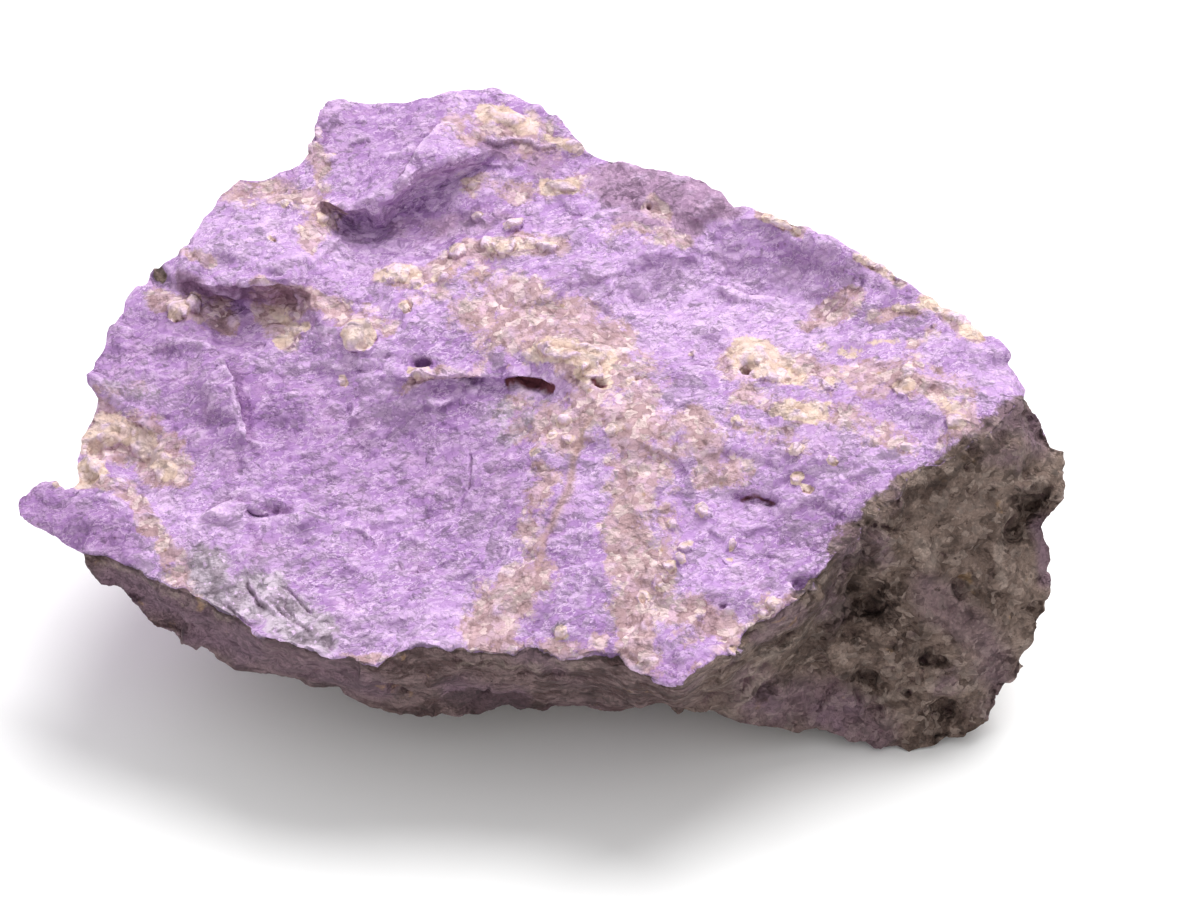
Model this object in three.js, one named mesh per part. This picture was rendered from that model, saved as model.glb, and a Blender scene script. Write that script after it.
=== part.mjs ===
// A rough lump of phosphosiderite: a wedge of lilac stone broken out of its bed. A broad fractured
// face slopes towards the viewer, with two stepped blocks at its upper left and shallow scoops
// across the middle and the right. It ends in a sharp rim. The front below the rim is undercut,
// the thick right end is a pitted brown crust, and the stone rests on a small flat spot.
//
// The stone is shaped as a sculptor would see it, from one viewpoint: each landmark is a place in
// that picture and a height above the table. The near side and the far side are two reliefs over
// the same silhouette, and they meet along it.
//
// Units are millimetres, +Z is up, and the origin is at the bottom centre of the bounding box.

import * as THREE from "three";
import { ConvexHull } from "three/addons/math/ConvexHull.js";
import { ImprovedNoise } from "three/addons/math/ImprovedNoise.js";

// Driving dimensions
const LENGTH = 131; // of the silhouette as the eye sees it; the stone itself is 128 long
const FACE_HEIGHT = 34; // of the broad face, in the middle of the picture
const FACE_RISE = 0.38; // height gained by the broad face for each mm up the picture
const FACE_LEAN = 0.05; // height gained by the broad face for each mm to the right
const NEAR_STEP = 1.75; // distance between the vertices of the near side
const FAR_STEP = 2.35; // distance between the vertices of the far side
const GROUND = 0.05; // anything lower than this lies on the table
const EDGE_WANDER = 0.35; // how far a broken edge strays from its landmarks
const SCATTER = 0.44; // how far the vertices between the lines stray from even rows, in steps
const CLEARANCE = 0.62; // how far those vertices keep from the lines, in steps
const TOUCHING = 0.4; // a line's vertex this near the silhouette is left out
const NEAR_ROUNDS = 5; // of softening between the sharp lines
const FAR_ROUNDS = 6;
const ROUNDING = 1e-9; // a place this far outside a triangle still counts as on its edge

// The viewpoint that the landmarks are read from
const EYE_ELEVATION = THREE.MathUtils.degToRad(40);
const EYE_DISTANCE = 500;
const TARGET = new THREE.Vector3(0, 0, 25);
const PICTURE_CENTRE = [600, 450];
const PICTURE_LENGTH = 1048; // the stone's length in picture units
const UNIT = LENGTH / PICTURE_LENGTH;

// The silhouette, clockwise from the left tip. Each landmark is [across, down, height]: across and
// down are in picture units, and height is in mm. On the broad face, height is only the lift over
// the plane of that face.
const UPPER_SILHOUETTE = onFace([
  [15, 512, 0], [19, 498, 0], [31, 488, 0], [43, 484, 0], [55, 481, 0], [65, 490, -0.3],
  [74, 487, -0.6], [78, 475, -1], [76, 460, -1.2], [83, 437, -1.2], [93, 411, -0.8], [98, 399, -0.3],
  [93, 387, 0], [88, 377, 0], [92, 362, 0], [110, 331, 0], [135, 294, 0], [153, 268, 0.3],
  [176, 256, 1], [187, 247, 1.3], [204, 218, 1.2], [221, 192, 1], [239, 177, 1], [263, 177, 1],
  [288, 169, 1.4], [300, 160, 1.8], [307, 149, 2], [312, 131, 2], [319, 118, 2], [329, 107, 1.8],
  [342, 103, 1.6], [365, 105, 1.4], [388, 104, 1.2], [411, 100, 1.2], [429, 96, 1], [449, 89, 0.8],
  [467, 88, 0.6], [493, 89, 0.4], [513, 94, 0.2], [529, 102, 0], [549, 114, 0], [562, 121, 0],
  [572, 133, 0], [585, 148, -0.3], [620, 160, -0.2], [656, 170, 0], [692, 175, 0.3], [707, 180, 0.4],
  [720, 190, 0.4], [735, 206, 0.2], [751, 206, 0.6], [787, 220, 0.8], [828, 239, 0.8],
  [873, 260, 0.7], [904, 281, 0.6], [935, 299, 0.5], [955, 313, 0.4], [976, 329, 0.5],
  [1004, 345, 0.5], [1010, 352, 0.4], [1016, 367, 0.3],
]);
const END_SILHOUETTE = [
  [1026, 391, 38], [1034, 407, 36.5], [1043, 419, 35], [1049, 432, 33.6], [1057, 447, 32],
  [1063, 463, 30.8], [1063, 478, 29.6], [1059, 494, 28.4], [1051, 513, 26.6], [1043, 527, 24.8],
  [1046, 537, 23.6], [1052, 547, 22.4], [1053, 560, 21], [1049, 574, 19.8], [1048, 592, 18],
  [1048, 611, 15.6], [1043, 626, 14], [1034, 641, 12], [1026, 652, 10.6], [1027, 667, 9],
  [1019, 680, 7.6], [1006, 695, 5.8], [996, 708, 4.2], [986, 723, 2.6], [970, 736, 1.2],
  [950, 740, 0.6], [935, 747, 0.2], [909, 752, 0],
];
const LOWER_SILHOUETTE = [
  [884, 743, 0.8], [868, 737, 1.4], [843, 733, 2.4], [812, 731, 3.6], [777, 732, 4.8],
  [756, 729, 5.6], [731, 722, 6.6], [705, 716, 7.6], [677, 716, 8], [662, 709, 8.6], [641, 713, 8.4],
  [621, 713, 8.4], [593, 709, 8.9], [567, 707, 9.1], [544, 712, 8.6], [529, 710, 8.8],
  [509, 706, 9.2], [496, 709, 9], [481, 715, 8.4], [450, 716, 8.4], [419, 717, 8.6], [388, 714, 9.2],
  [370, 708, 9.8], [350, 697, 10.6], [335, 689, 11.2], [312, 688, 11.4], [294, 680, 11.8],
  [258, 673, 12.4], [235, 669, 13], [225, 662, 13.8], [212, 652, 14.8], [200, 646, 15.4],
  [182, 639, 16], [169, 633, 16.4], [156, 630, 16.6], [146, 622, 17.6], [138, 610, 18.8],
  [126, 600, 19.8], [118, 591, 20.8], [100, 586, 21.4], [93, 576, 22.6], [87, 564, 23.8],
  [83, 554, 25], [64, 544, 25.6], [46, 532, 26.2], [26, 521, 27],
];
const SILHOUETTE = [...UPPER_SILHOUETTE, ...END_SILHOUETTE, ...LOWER_SILHOUETTE];

// The sharp rim, where the broad face breaks off along the front and the right end
const RIM = onFace([
  [83, 554, 0], [100, 551, 0], [113, 559, 0], [133, 569, 0], [161, 579, 0.2], [194, 595, 0],
  [220, 608, 0], [243, 623, 0], [258, 636, 0], [279, 643, 0], [304, 648, 0], [322, 656, 0],
  [345, 660, 0.2], [363, 662, 0.4], [377, 665, 0.5], [388, 660, 0.5], [401, 652, 0.4], [429, 646, 0.2],
  [457, 651, 0.2], [481, 649, 0.2], [501, 653, 0], [519, 652, 0], [534, 647, 0], [547, 649, -0.2],
  [562, 657, -0.2], [588, 652, 0], [608, 648, 0], [623, 652, 0], [631, 670, 0.2], [644, 677, 0.3],
  [667, 683, 0.4], [682, 681, 0.4], [695, 672, 0.4], [710, 665, 0.3], [728, 656, 0.2], [738, 650, 0],
  [741, 635, 0], [756, 624, 0.2], [779, 619, 0.5], [792, 606, 0.5], [807, 588, 0.4], [822, 568, 0.4],
  [838, 550, 0.4], [861, 533, 0.6], [876, 519, 0.7], [881, 504, 0.8], [902, 496, 0.9],
  [917, 475, 0.9], [927, 465, 1], [945, 463, 1], [965, 452, 1], [981, 442, 1], [998, 427, 0.8],
  [1014, 409, 0.6], [1024, 393, 0.2],
]);

// Steps in the broad face. Each has a lip, the line where the upper block breaks off, and a foot.
const STEPS = [
  // the tongue at the top
  {
    lip: [[298, 187, 1.6], [320, 200, 2.4], [345, 210, 3], [366, 206, 3], [392, 198, 3], [405, 184, 3],
      [420, 173, 3], [444, 165, 2.9], [470, 156, 2.2], [492, 149, 1.2]],
    foot: [[330, 211, 0.6], [346, 222, -0.8], [362, 234, -1.6], [386, 228, -1.6], [402, 209, -1.4],
      [420, 195, -1.2], [444, 184, -1], [470, 172, -0.6], [492, 160, 0]],
  },
  // the block at the left
  {
    lip: [[189, 280, 1.5], [204, 284, 2.4], [230, 287, 3.2], [241, 283, 3.4], [256, 279, 3.5],
      [276, 280, 3.5], [293, 278, 3], [302, 291, 1.8], [318, 297, 1]],
    foot: [[192, 293, 0.2], [210, 301, -0.2], [235, 306, -0.4], [262, 307, -0.5], [284, 304, -0.4],
      [298, 304, 0]],
  },
  // the slot in the middle
  {
    lip: [[404, 378, 0.2], [440, 379, 0.3], [470, 377, 0.4], [500, 379, 0.6], [520, 376, 0.7],
      [542, 379, 0.6], [560, 388, 0.4]],
    foot: [[404, 386, -0.2], [440, 387, -0.3], [470, 386, -0.4], [502, 388, -0.6], [520, 391, -0.7],
      [545, 392, -0.5]],
  },
  // the notch at the lower left
  {
    lip: [[236, 490, 0.1], [244, 504, 0.3], [256, 504, 0.5], [270, 499, 0.6], [290, 504, 0.3],
      [312, 511, -0.2]],
    foot: [[250, 514, -0.7], [264, 518, -0.8], [282, 514, -0.6]],
  },
  // the nick at the lower right
  {
    lip: [[722, 498, 0.3], [735, 488, 0.7], [750, 483, 0.9], [768, 489, 0.8], [790, 503, 0.2]],
    foot: [[735, 502, -0.2], [752, 504, -0.5], [768, 504, -0.4]],
  },
];

// Low creases of the broad face: the fold at the left, the edge of the right scoop and the peak's
const FACE_CREASES = [
  [[224, 358, 0.9], [228, 378, 1], [232, 398, 1], [237, 420, 0.8], [240, 438, 0.5]],
  [[246, 384, -0.8], [256, 412, -1.1], [268, 444, -0.8]],
  [[646, 253, 0.7], [618, 279, 0.5], [595, 300, 0.2], [570, 312, 0]],
  [[456, 112, 1.6], [432, 136, 2.4], [409, 163, 3]],
];

// Places between those lines, with the lift of the broad face there
const FACE_PLACES = [
  // the tongue and the peak
  [340, 130, 2.3], [380, 130, 2.2], [345, 180, 2.8], [385, 170, 2.8], [425, 120, 1.8],
  [475, 125, 1.2], [510, 125, 0.6], [545, 140, -0.2], [525, 155, -0.3], [560, 165, -0.5],
  // the slope below the tongue
  [420, 225, -1.8], [470, 205, -1], [520, 190, -0.6], [390, 250, -1.4], [450, 250, -1.2],
  [500, 240, -0.4], [550, 220, 0], [600, 200, 0.2], [560, 260, 0.4],
  // the block at the left, and the slope below it
  [215, 230, 2], [260, 210, 1.6], [260, 250, 2.8], [300, 240, 2.4], [320, 225, 1.2], [335, 270, 0.8],
  [170, 290, 0], [140, 330, -0.4], [180, 340, -0.3], [260, 330, -0.3], [310, 330, 0], [120, 380, -0.2],
  [170, 390, 0.2], [200, 420, 0.3], [150, 415, -0.4], [210, 330, 0],
  // the crumbling hollow on the left edge, and the lobe of the left tip
  [110, 430, -1.2], [100, 465, -1.6], [140, 455, -1.4], [130, 485, -0.8], [60, 515, 0.3],
  [100, 525, 0.4], [150, 520, 0.4], [190, 470, 0.5], [200, 520, 0.3], [200, 560, 0],
  [262, 540, -0.9], [266, 560, -0.8], [300, 530, -1], [232, 530, 0.1], [240, 470, 0.2],
  // the wide scoop in the middle
  [290, 400, -1], [340, 380, -0.8], [300, 460, -1.6], [360, 430, -1.8], [330, 500, -2],
  [290, 540, -1.4], [260, 580, -0.6], [400, 480, -2.4], [360, 550, -1.8], [440, 440, -2.2],
  [440, 520, -2], [400, 590, -0.8], [480, 580, -0.8], [500, 480, -1.2], [500, 420, -1.4],
  [330, 620, -0.2], [420, 625, 0.2], [540, 540, 0], [550, 440, 0.4], [520, 620, 0],
  // the ridge of cream stone between the two scoops
  [400, 290, 0.4], [450, 290, 0.6], [400, 340, 0.2], [460, 340, 0.4], [520, 320, 0.6],
  [530, 290, 0.5], [570, 350, 1.2], [600, 375, 1.6], [620, 410, 1.4], [600, 460, 1], [600, 540, 0.7],
  [600, 610, 0.2],
  // the right scoop
  [600, 320, -0.6], [650, 300, -1.8], [650, 340, -1.2], [700, 270, -2], [700, 320, -2.5],
  [750, 260, -2.2], [760, 300, -3], [820, 280, -1.6], [820, 320, -1.6], [700, 225, 0.4],
  [740, 235, -0.6], [790, 245, -0.8], [850, 268, -0.3], [650, 215, 0.6], [620, 235, 0.4],
  // the right side
  [680, 380, 0.6], [740, 360, 0], [800, 360, -0.2], [860, 330, -0.4], [920, 320, 0.1],
  [700, 430, 1.2], [760, 420, 1.2], [830, 400, 0.8], [900, 380, 0.8], [960, 370, 0.8],
  [980, 400, 1], [900, 430, 1.2], [840, 460, 1.2], [800, 440, 1.4], [680, 470, 0.9],
  [700, 540, 0.2], [752, 520, -0.5], [760, 545, -0.2], [820, 520, 0.4], [650, 550, 0.5],
  [700, 600, 0], [760, 590, 0],
  [650, 630, 0.1], [700, 640, 0.3],
];

// Lines on the front and the right end, with their heights: the crease that parts the bevel under
// the rim from the crust, the edge left of it, and the hollow under the shoulder at the far right
const END_LINES = [
  [[861, 546, 29.4], [853, 572, 24.6], [843, 603, 20.4], [822, 628, 18.4], [802, 645, 17.2],
    [782, 663, 15.6], [764, 682, 12.6], [744, 706, 9]],
  [[800, 634, 21], [777, 655, 19.6], [762, 674, 17], [752, 692, 13.6], [736, 705, 10.4]],
  [[1004, 538, 25.4], [1014, 514, 28.2], [1025, 493, 30.4], [1040, 478, 30.8], [1055, 467, 31]],
  [[1013, 528, 23.8], [1024, 514, 24.6], [1036, 504, 25.4], [1047, 500, 26.6]],
];
const END_PLACES = [
  // the crust
  [880, 580, 24.2], [930, 560, 25.6], [900, 620, 19.4], [940, 620, 18.4], [900, 660, 13.8],
  [960, 660, 12.6], [870, 690, 9], [930, 700, 7.4], [985, 580, 21.8], [985, 650, 12.6],
  [830, 690, 8.6], [970, 520, 29.4], [1000, 480, 32.8], [930, 510, 31.4], [1010, 440, 36.2],
  [800, 700, 7.6], [780, 710, 7], [975, 700, 6.6],
  // its far right
  [1030, 450, 34], [1040, 550, 22.4], [1030, 590, 18.4], [1010, 640, 13], [1015, 560, 22.6],
  // the undercut front
  [150, 600, 21], [200, 622, 19.4], [250, 650, 17.4], [310, 668, 16.2], [370, 686, 16],
  [430, 680, 16.6], [490, 682, 16.2], [550, 682, 16.4], [610, 682, 16.2], [650, 696, 15],
  [700, 692, 15.4],
];

// Lumps and pits too wide to be grain, as [across, down, radius, height] in picture units and mm
const LUMPS = [
  // knobs of cream stone on the broad face
  [358, 336, 18, 1.1], [176, 310, 16, 0.8], [396, 276, 16, 0.8], [442, 276, 12, 0.7],
  [457, 250, 13, 0.7], [505, 246, 13, 0.8], [548, 246, 11, 0.6], [404, 306, 11, 0.6],
  [560, 186, 15, 0.7], [515, 223, 11, 0.6], [572, 360, 24, 0.9], [752, 364, 20, 0.8],
  [800, 410, 22, 0.6], [908, 371, 12, 0.7], [905, 387, 13, 0.6], [828, 385, 10, 0.5],
  [954, 421, 12, 0.6], [796, 450, 10, 0.5], [505, 118, 20, 0.6], [428, 375, 12, 0.6],
  [562, 631, 9, 0.5], [776, 603, 10, 0.6], [105, 470, 14, 0.5], [128, 392, 22, 0.4],
  // hollows in it
  [745, 368, 8, -1], [420, 362, 10, -0.9], [530, 385, 10, -0.7], [360, 222, 15, -0.9],
  [285, 318, 26, -0.7], [825, 310, 24, -0.8], [644, 598, 9, -0.7], [804, 583, 13, -0.6],
  [721, 605, 9, -0.5], [648, 207, 7, -0.5], [600, 382, 9, -0.5], [130, 455, 18, -0.8],
  // pits in the crust
  [868, 607, 22, -1.6], [960, 590, 13, -1], [866, 676, 14, -1.1], [930, 660, 13, -1],
  [943, 712, 15, -1], [852, 632, 13, -0.9], [874, 533, 11, -0.8], [905, 690, 12, -0.7],
  // knobs in the crust
  [921, 553, 13, 1], [898, 600, 13, 0.9], [990, 620, 18, 0.9], [905, 640, 14, 0.8],
  [960, 640, 16, 0.9], [890, 712, 14, 0.9], [1000, 560, 14, 0.7],
];

// Ridges and places of the far side, as [x, y, z] in mm from the point under the viewer's target
const FAR_RIDGES = [
  [[-28, 44, 42], [-26, 48, 25], [-22, 38, 6]],
  [[14, 32, 39], [20, 37, 22], [22, 29, 3.4]],
  [[-58, 18, 34], [-55, 20, 21], [-42, 20, 8]],
  [[47, 8, 36], [51, 6, 19], [45, -4, 3]],
];
const FAR_PLACES = [
  // the upper back
  [-52, 26, 36], [-39, 37, 41], [-14, 45, 42], [2, 36, 40], [29, 22, 38], [53, 0, 34],
  // half way down
  [-62, 10, 26], [-43, 36, 24], [-13, 46, 27], [4, 42, 23], [33, 27, 21], [55, -2, 20],
  // near the table
  [-30, 35, 8], [-10, 39, 5], [6, 36, 6], [34, 20, 4.4], [49, -13, 5],
  // the underside, rising to the left tip
  [-69, -7.4, 20.5], [-63, -9, 18.5], [-56, -4, 16.5], [-50, 8, 11.5], [-49, -17, 13.5],
  [-42, -12, 9.5], [-40, 4, 7], [-27, -18, 5.4], [-26, 10, 3.4], [-10, -21, 3.6], [10, -23, 3.4],
  [26, -25, 2.2],
];
const RESTING_SPOT = [
  [-18, -7], [-4, -13], [13, -16], [28, -18], [35, -11], [32, 3], [22, 12], [8, 16], [-8, 13],
  [-17, 5],
];

const noise = new ImprovedNoise();

function onFace(places) {
  return places.map(([across, down, lift]) => {
    const plane = FACE_HEIGHT + FACE_RISE * (PICTURE_CENTRE[1] - down) * UNIT
      + FACE_LEAN * (across - PICTURE_CENTRE[0]) * UNIT;
    return [across, down, plane + lift];
  });
}

// The eye and the directions of its picture
const RIGHT = new THREE.Vector3(1, 0, 0);
const UP = new THREE.Vector3(0, Math.sin(EYE_ELEVATION), Math.cos(EYE_ELEVATION));
const FORWARD = new THREE.Vector3().crossVectors(UP, RIGHT);
const EYE = TARGET.clone().addScaledVector(FORWARD, -EYE_DISTANCE);

// A vertex is { x, y, height, sharp }: its place in the picture in mm, and its height.
function inPicture([across, down, height], sharp) {
  const x = (across - PICTURE_CENTRE[0]) * UNIT;
  const y = (PICTURE_CENTRE[1] - down) * UNIT;
  return { x, y, height, sharp };
}

function fromSpace([x, y, z], sharp) {
  const sight = new THREE.Vector3(x, y, z).sub(EYE);
  const scale = EYE_DISTANCE / sight.dot(FORWARD);
  return { x: sight.dot(RIGHT) * scale, y: sight.dot(UP) * scale, height: z, sharp };
}

function toSpace({ x, y, height }) {
  const place = TARGET.clone().addScaledVector(RIGHT, x).addScaledVector(UP, y);
  const share = (EYE.z - height) / (EYE.z - place.z);
  return new THREE.Vector3().lerpVectors(EYE, place, share);
}

// Smooth noise over the picture, -1 to 1, of which each layer is a different one
function stray(x, y, layer) {
  return noise.noise(x, y, layer + 0.5);
}

// The vertices of a line, with more put in so that none are further apart than step. They stand
// a little off the straight line, as a broken edge does.
function divided(line, step, closed = false) {
  const corners = closed ? [...line, line[0]] : line;
  const made = [];
  corners.slice(0, -1).forEach((from, i) => {
    const to = corners[i + 1];
    const pieces = Math.ceil(Math.hypot(to.x - from.x, to.y - from.y) / step);
    for (let k = 0; k < pieces; k++) {
      const share = k / pieces;
      const x = THREE.MathUtils.lerp(from.x, to.x, share);
      const y = THREE.MathUtils.lerp(from.y, to.y, share);
      const isCorner = k === 0;
      made.push({
        x: isCorner ? x : x + EDGE_WANDER * stray(x, y, 1),
        y: isCorner ? y : y + EDGE_WANDER * stray(x, y, 2),
        height: THREE.MathUtils.lerp(from.height, to.height, share),
        sharp: from.sharp,
      });
    }
  });
  if (!closed) made.push(corners.at(-1));
  return made;
}

function isInside(outline, x, y) {
  let inside = false;
  outline.forEach((a, i) => {
    const b = outline[(i + 1) % outline.length];
    const crosses = a.y > y !== b.y > y && x < a.x + ((b.x - a.x) * (y - a.y)) / (b.y - a.y);
    if (crosses) inside = !inside;
  });
  return inside;
}

// Delaunay triangles of the vertices: the lower faces of their hull once lifted onto a paraboloid
function triangulate(vertices, outline) {
  const lifted = vertices.map(({ x, y }, index) => {
    return Object.assign(new THREE.Vector3(x, y, x * x + y * y), { index });
  });
  const triangles = [];
  for (const face of new ConvexHull().setFromPoints(lifted).faces) {
    if (face.normal.z >= 0) continue;
    const corners = [face.edge, face.edge.next, face.edge.prev].map((edge) => edge.vertex.point);
    const x = (corners[0].x + corners[1].x + corners[2].x) / 3;
    const y = (corners[0].y + corners[1].y + corners[2].y) / 3;
    if (isInside(outline, x, y)) triangles.push(corners.map((corner) => corner.index));
  }
  return triangles;
}

// Height of the landmarks' own triangles at one place in the picture
function interpolated(landmarks, triangles, x, y) {
  const place = new THREE.Vector3(x, y, 0);
  const weights = new THREE.Vector3();
  for (const triangle of triangles) {
    const [a, b, c] = triangle.map((index) => landmarks[index]);
    const corners = [a, b, c].map((corner) => new THREE.Vector3(corner.x, corner.y, 0));
    if (!THREE.Triangle.getBarycoord(place, ...corners, weights)) continue;
    if (Math.min(weights.x, weights.y, weights.z) < -ROUNDING) continue;
    return weights.x * a.height + weights.y * b.height + weights.z * c.height;
  }
  return null;
}

// Vertices scattered evenly between the landmarks, clear of the lines
function scattered(lines, landmarks, outline, step) {
  const triangles = triangulate(landmarks, outline);
  const rowHeight = step * Math.sqrt(3 / 4);
  const xs = outline.map((vertex) => vertex.x);
  const ys = outline.map((vertex) => vertex.y);
  const made = [];
  for (let row = 0, y = Math.min(...ys); y < Math.max(...ys); row++, y += rowHeight) {
    const indent = row % 2 ? step / 2 : 0;
    for (let x = Math.min(...xs) + indent; x < Math.max(...xs); x += step) {
      const px = x + SCATTER * step * stray(x, y, 3);
      const py = y + SCATTER * step * stray(x, y, 4);
      if (!isInside(outline, px, py)) continue;
      if (lines.some((vertex) => Math.hypot(vertex.x - px, vertex.y - py) < CLEARANCE * step)) continue;
      const height = interpolated(landmarks, triangles, px, py);
      if (height !== null) made.push({ x: px, y: py, height, sharp: false });
    }
  }
  return made;
}

// Rounds the relief between the sharp lines, leaving each vertex at its place in the picture
function soften(vertices, triangles, rounds) {
  const neighbours = vertices.map(() => new Set());
  for (const triangle of triangles) {
    triangle.forEach((index, k) => neighbours[index].add(triangle[(k + 1) % 3]).add(triangle[(k + 2) % 3]));
  }
  for (let round = 0; round < rounds; round++) {
    const heights = vertices.map((vertex) => vertex.height);
    vertices.forEach((vertex, index) => {
      if (vertex.sharp) return;
      let sum = 0;
      for (const other of neighbours[index]) sum += heights[other];
      vertex.height = (heights[index] + sum / neighbours[index].size) / 2;
    });
  }
}

// One side of the stone: { vertices, triangles }, the silhouette's vertices first
function side(outline, lines, places, step, rounds) {
  const fixed = [...outline, ...lines];
  const spread = scattered(fixed, [...fixed, ...places], outline, step);
  const vertices = [...fixed, ...spread].map((vertex) => ({ ...vertex }));
  const triangles = triangulate(vertices, outline);
  soften(vertices, triangles, rounds);
  return { vertices, triangles };
}

// The fractured surface's own unevenness at a point, in mm
const SWELLS = [
  { size: 13, height: 0.75 },
  { size: 6, height: 0.45 },
  { size: 3.2, height: 0.28 },
];
const FAR_ROUGHNESS = 1.5; // the far side is this many times as uneven
const LUMP_SPREAD = 1.5; // a lump's skirt dies away at this many radii
const LUMP_SLOPE = 0.8; // share of that reach over which it rises

function unevenness(point) {
  return SWELLS.reduce((sum, { size, height }, k) => {
    const value = noise.noise(point.x / size + 31 * k, point.y / size, point.z / size);
    return sum + height * value;
  }, 0);
}

// Height of the lumps and pits at a place in the picture
function lumpHeight({ x, y }) {
  return LUMPS.reduce((sum, [across, down, radius, height]) => {
    const centre = inPicture([across, down, 0], false);
    const nearness = 1 - Math.hypot(centre.x - x, centre.y - y) / (LUMP_SPREAD * radius * UNIT);
    return nearness > 0 ? sum + height * THREE.MathUtils.smoothstep(nearness, 0, LUMP_SLOPE) : sum;
  }, 0);
}

function stoneGeometry() {
  const outline = divided(SILHOUETTE.map((place) => inPicture(place, true)), NEAR_STEP, true);
  const nearLines = [
    RIM,
    ...STEPS.flatMap(({ lip, foot }) => [onFace(lip), onFace(foot)]),
    ...FACE_CREASES.map(onFace),
    ...END_LINES,
  ].flatMap((line) => divided(line.map((place) => inPicture(place, true)), NEAR_STEP));
  const nearPlaces = [...onFace(FACE_PLACES), ...END_PLACES].map((place) => inPicture(place, false));
  const touches = ({ x, y }) => outline.some((vertex) => Math.hypot(vertex.x - x, vertex.y - y) < TOUCHING);
  const freeLines = nearLines.filter((vertex) => !touches(vertex));
  const near = side(outline, freeLines, nearPlaces, NEAR_STEP, NEAR_ROUNDS);

  const spot = RESTING_SPOT.map(([x, y]) => fromSpace([x, y, 0], true));
  const farLines = [
    ...divided(spot, FAR_STEP, true),
    ...FAR_RIDGES.flatMap((line) => divided(line.map((place) => fromSpace(place, true)), FAR_STEP)),
  ];
  const farPlaces = FAR_PLACES.map((place) => fromSpace(place, false));
  const far = side(outline, farLines, farPlaces, FAR_STEP, FAR_ROUNDS);

  const shared = outline.length;
  const farIndex = (index) => (index < shared ? index : index + near.vertices.length - shared);
  const points = [...near.vertices, ...far.vertices.slice(shared)].map((vertex, index) => {
    if (vertex.height < GROUND) return toSpace({ ...vertex, height: 0 });
    const isFar = index >= near.vertices.length;
    const roughness = isFar ? FAR_ROUGHNESS : 1;
    const lump = isFar || index < shared ? 0 : lumpHeight(vertex);
    const height = vertex.height + roughness * unevenness(toSpace(vertex)) + lump;
    return toSpace({ ...vertex, height: Math.max(GROUND, height) });
  });
  // A triangle that both sides have, between neighbours on the silhouette, encloses nothing.
  const name = (triangle) => [...triangle].sort((a, b) => a - b).join(" ");
  const nearNames = new Set(near.triangles.map(name));
  const farNames = new Set(far.triangles.map(name));
  const isShared = (triangle) => Math.max(...triangle) < shared
    && nearNames.has(name(triangle)) && farNames.has(name(triangle));
  const triangles = [
    ...near.triangles.filter((triangle) => !isShared(triangle)).map(([a, b, c]) => [a, c, b]),
    ...far.triangles.filter((triangle) => !isShared(triangle)).map((triangle) => triangle.map(farIndex)),
  ];

  const geometry = new THREE.BufferGeometry().setFromPoints(points);
  geometry.setIndex(triangles.flat());
  geometry.computeBoundingBox();
  const { min, max } = geometry.boundingBox;
  geometry.translate(-(min.x + max.x) / 2, -(min.y + max.y) / 2, -min.z);
  geometry.computeVertexNormals();
  return geometry;
}

const lilacStone = new THREE.MeshStandardMaterial({ color: 0xb48fc4, roughness: 0.82, metalness: 0 });

const stone = new THREE.Mesh(stoneGeometry(), lilacStone);
stone.name = "rough_stone";

const specimen = new THREE.Group();
specimen.add(stone);

export default specimen;
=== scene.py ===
# A rough lump of phosphosiderite on a pale table, seen from forty degrees up.
#
# The stone's skin is a finer copy of the CAD solid, with real relief. The first lists below place
# its ledges, cracks, knobs and pits, and the brush strokes after them paint the masks that its
# grain and its material read. The lists give places as pixels of the 1200 x 900 photograph.
import math

import bmesh
import bpy
import numpy as np
from mathutils import Matrix, Vector, noise
from mathutils.bvhtree import BVHTree


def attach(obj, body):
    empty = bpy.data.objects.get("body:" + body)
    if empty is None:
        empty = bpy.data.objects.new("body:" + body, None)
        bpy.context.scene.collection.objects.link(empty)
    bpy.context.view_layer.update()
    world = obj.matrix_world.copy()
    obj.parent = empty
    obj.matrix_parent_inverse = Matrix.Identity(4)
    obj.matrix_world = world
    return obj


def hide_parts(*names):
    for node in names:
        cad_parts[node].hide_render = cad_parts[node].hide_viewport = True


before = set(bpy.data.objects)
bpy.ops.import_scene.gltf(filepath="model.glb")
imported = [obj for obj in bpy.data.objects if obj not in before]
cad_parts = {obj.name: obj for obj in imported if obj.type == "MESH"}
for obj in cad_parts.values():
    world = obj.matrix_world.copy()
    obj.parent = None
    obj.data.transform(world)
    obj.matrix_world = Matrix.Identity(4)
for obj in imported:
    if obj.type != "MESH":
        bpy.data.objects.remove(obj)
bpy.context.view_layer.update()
noise.seed_set(1)  # or else noise_vector differs from run to run

MM = 0.001
FRONT_END = 700  # across the photograph, where the front becomes the right end
FRONT_BLEND = 60  # pixels to each side over which it does

# The photograph's eye: 8 pixels to the millimetre at the target
EYE_ELEVATION = math.radians(40)
EYE_DISTANCE = 0.5
TARGET = Vector((0.0073, -0.00364, 0.025))
PIXEL = 0.125 * MM
PICTURE_CENTRE = (600, 450)
PICTURE_WIDTH = 1200
SENSOR_WIDTH = 36
RIGHT = Vector((1, 0, 0))
UP = Vector((0, math.sin(EYE_ELEVATION), math.cos(EYE_ELEVATION)))
FORWARD = Vector((0, math.cos(EYE_ELEVATION), -math.sin(EYE_ELEVATION)))
EYE = TARGET - FORWARD * EYE_DISTANCE

# The stage
FLOOR_HALF = 3.0
FLOOR_GREY = 0.92
FLOOR_ROUGHNESS = 0.9
KEY_PLACE = Vector((0.25, 0.45, 0.85))
KEY_AIM = Vector((0, 0, 0.02))
KEY_SIZE = 0.7
KEY_WATTS = 11
SKY_STRENGTH = 0.8

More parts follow.
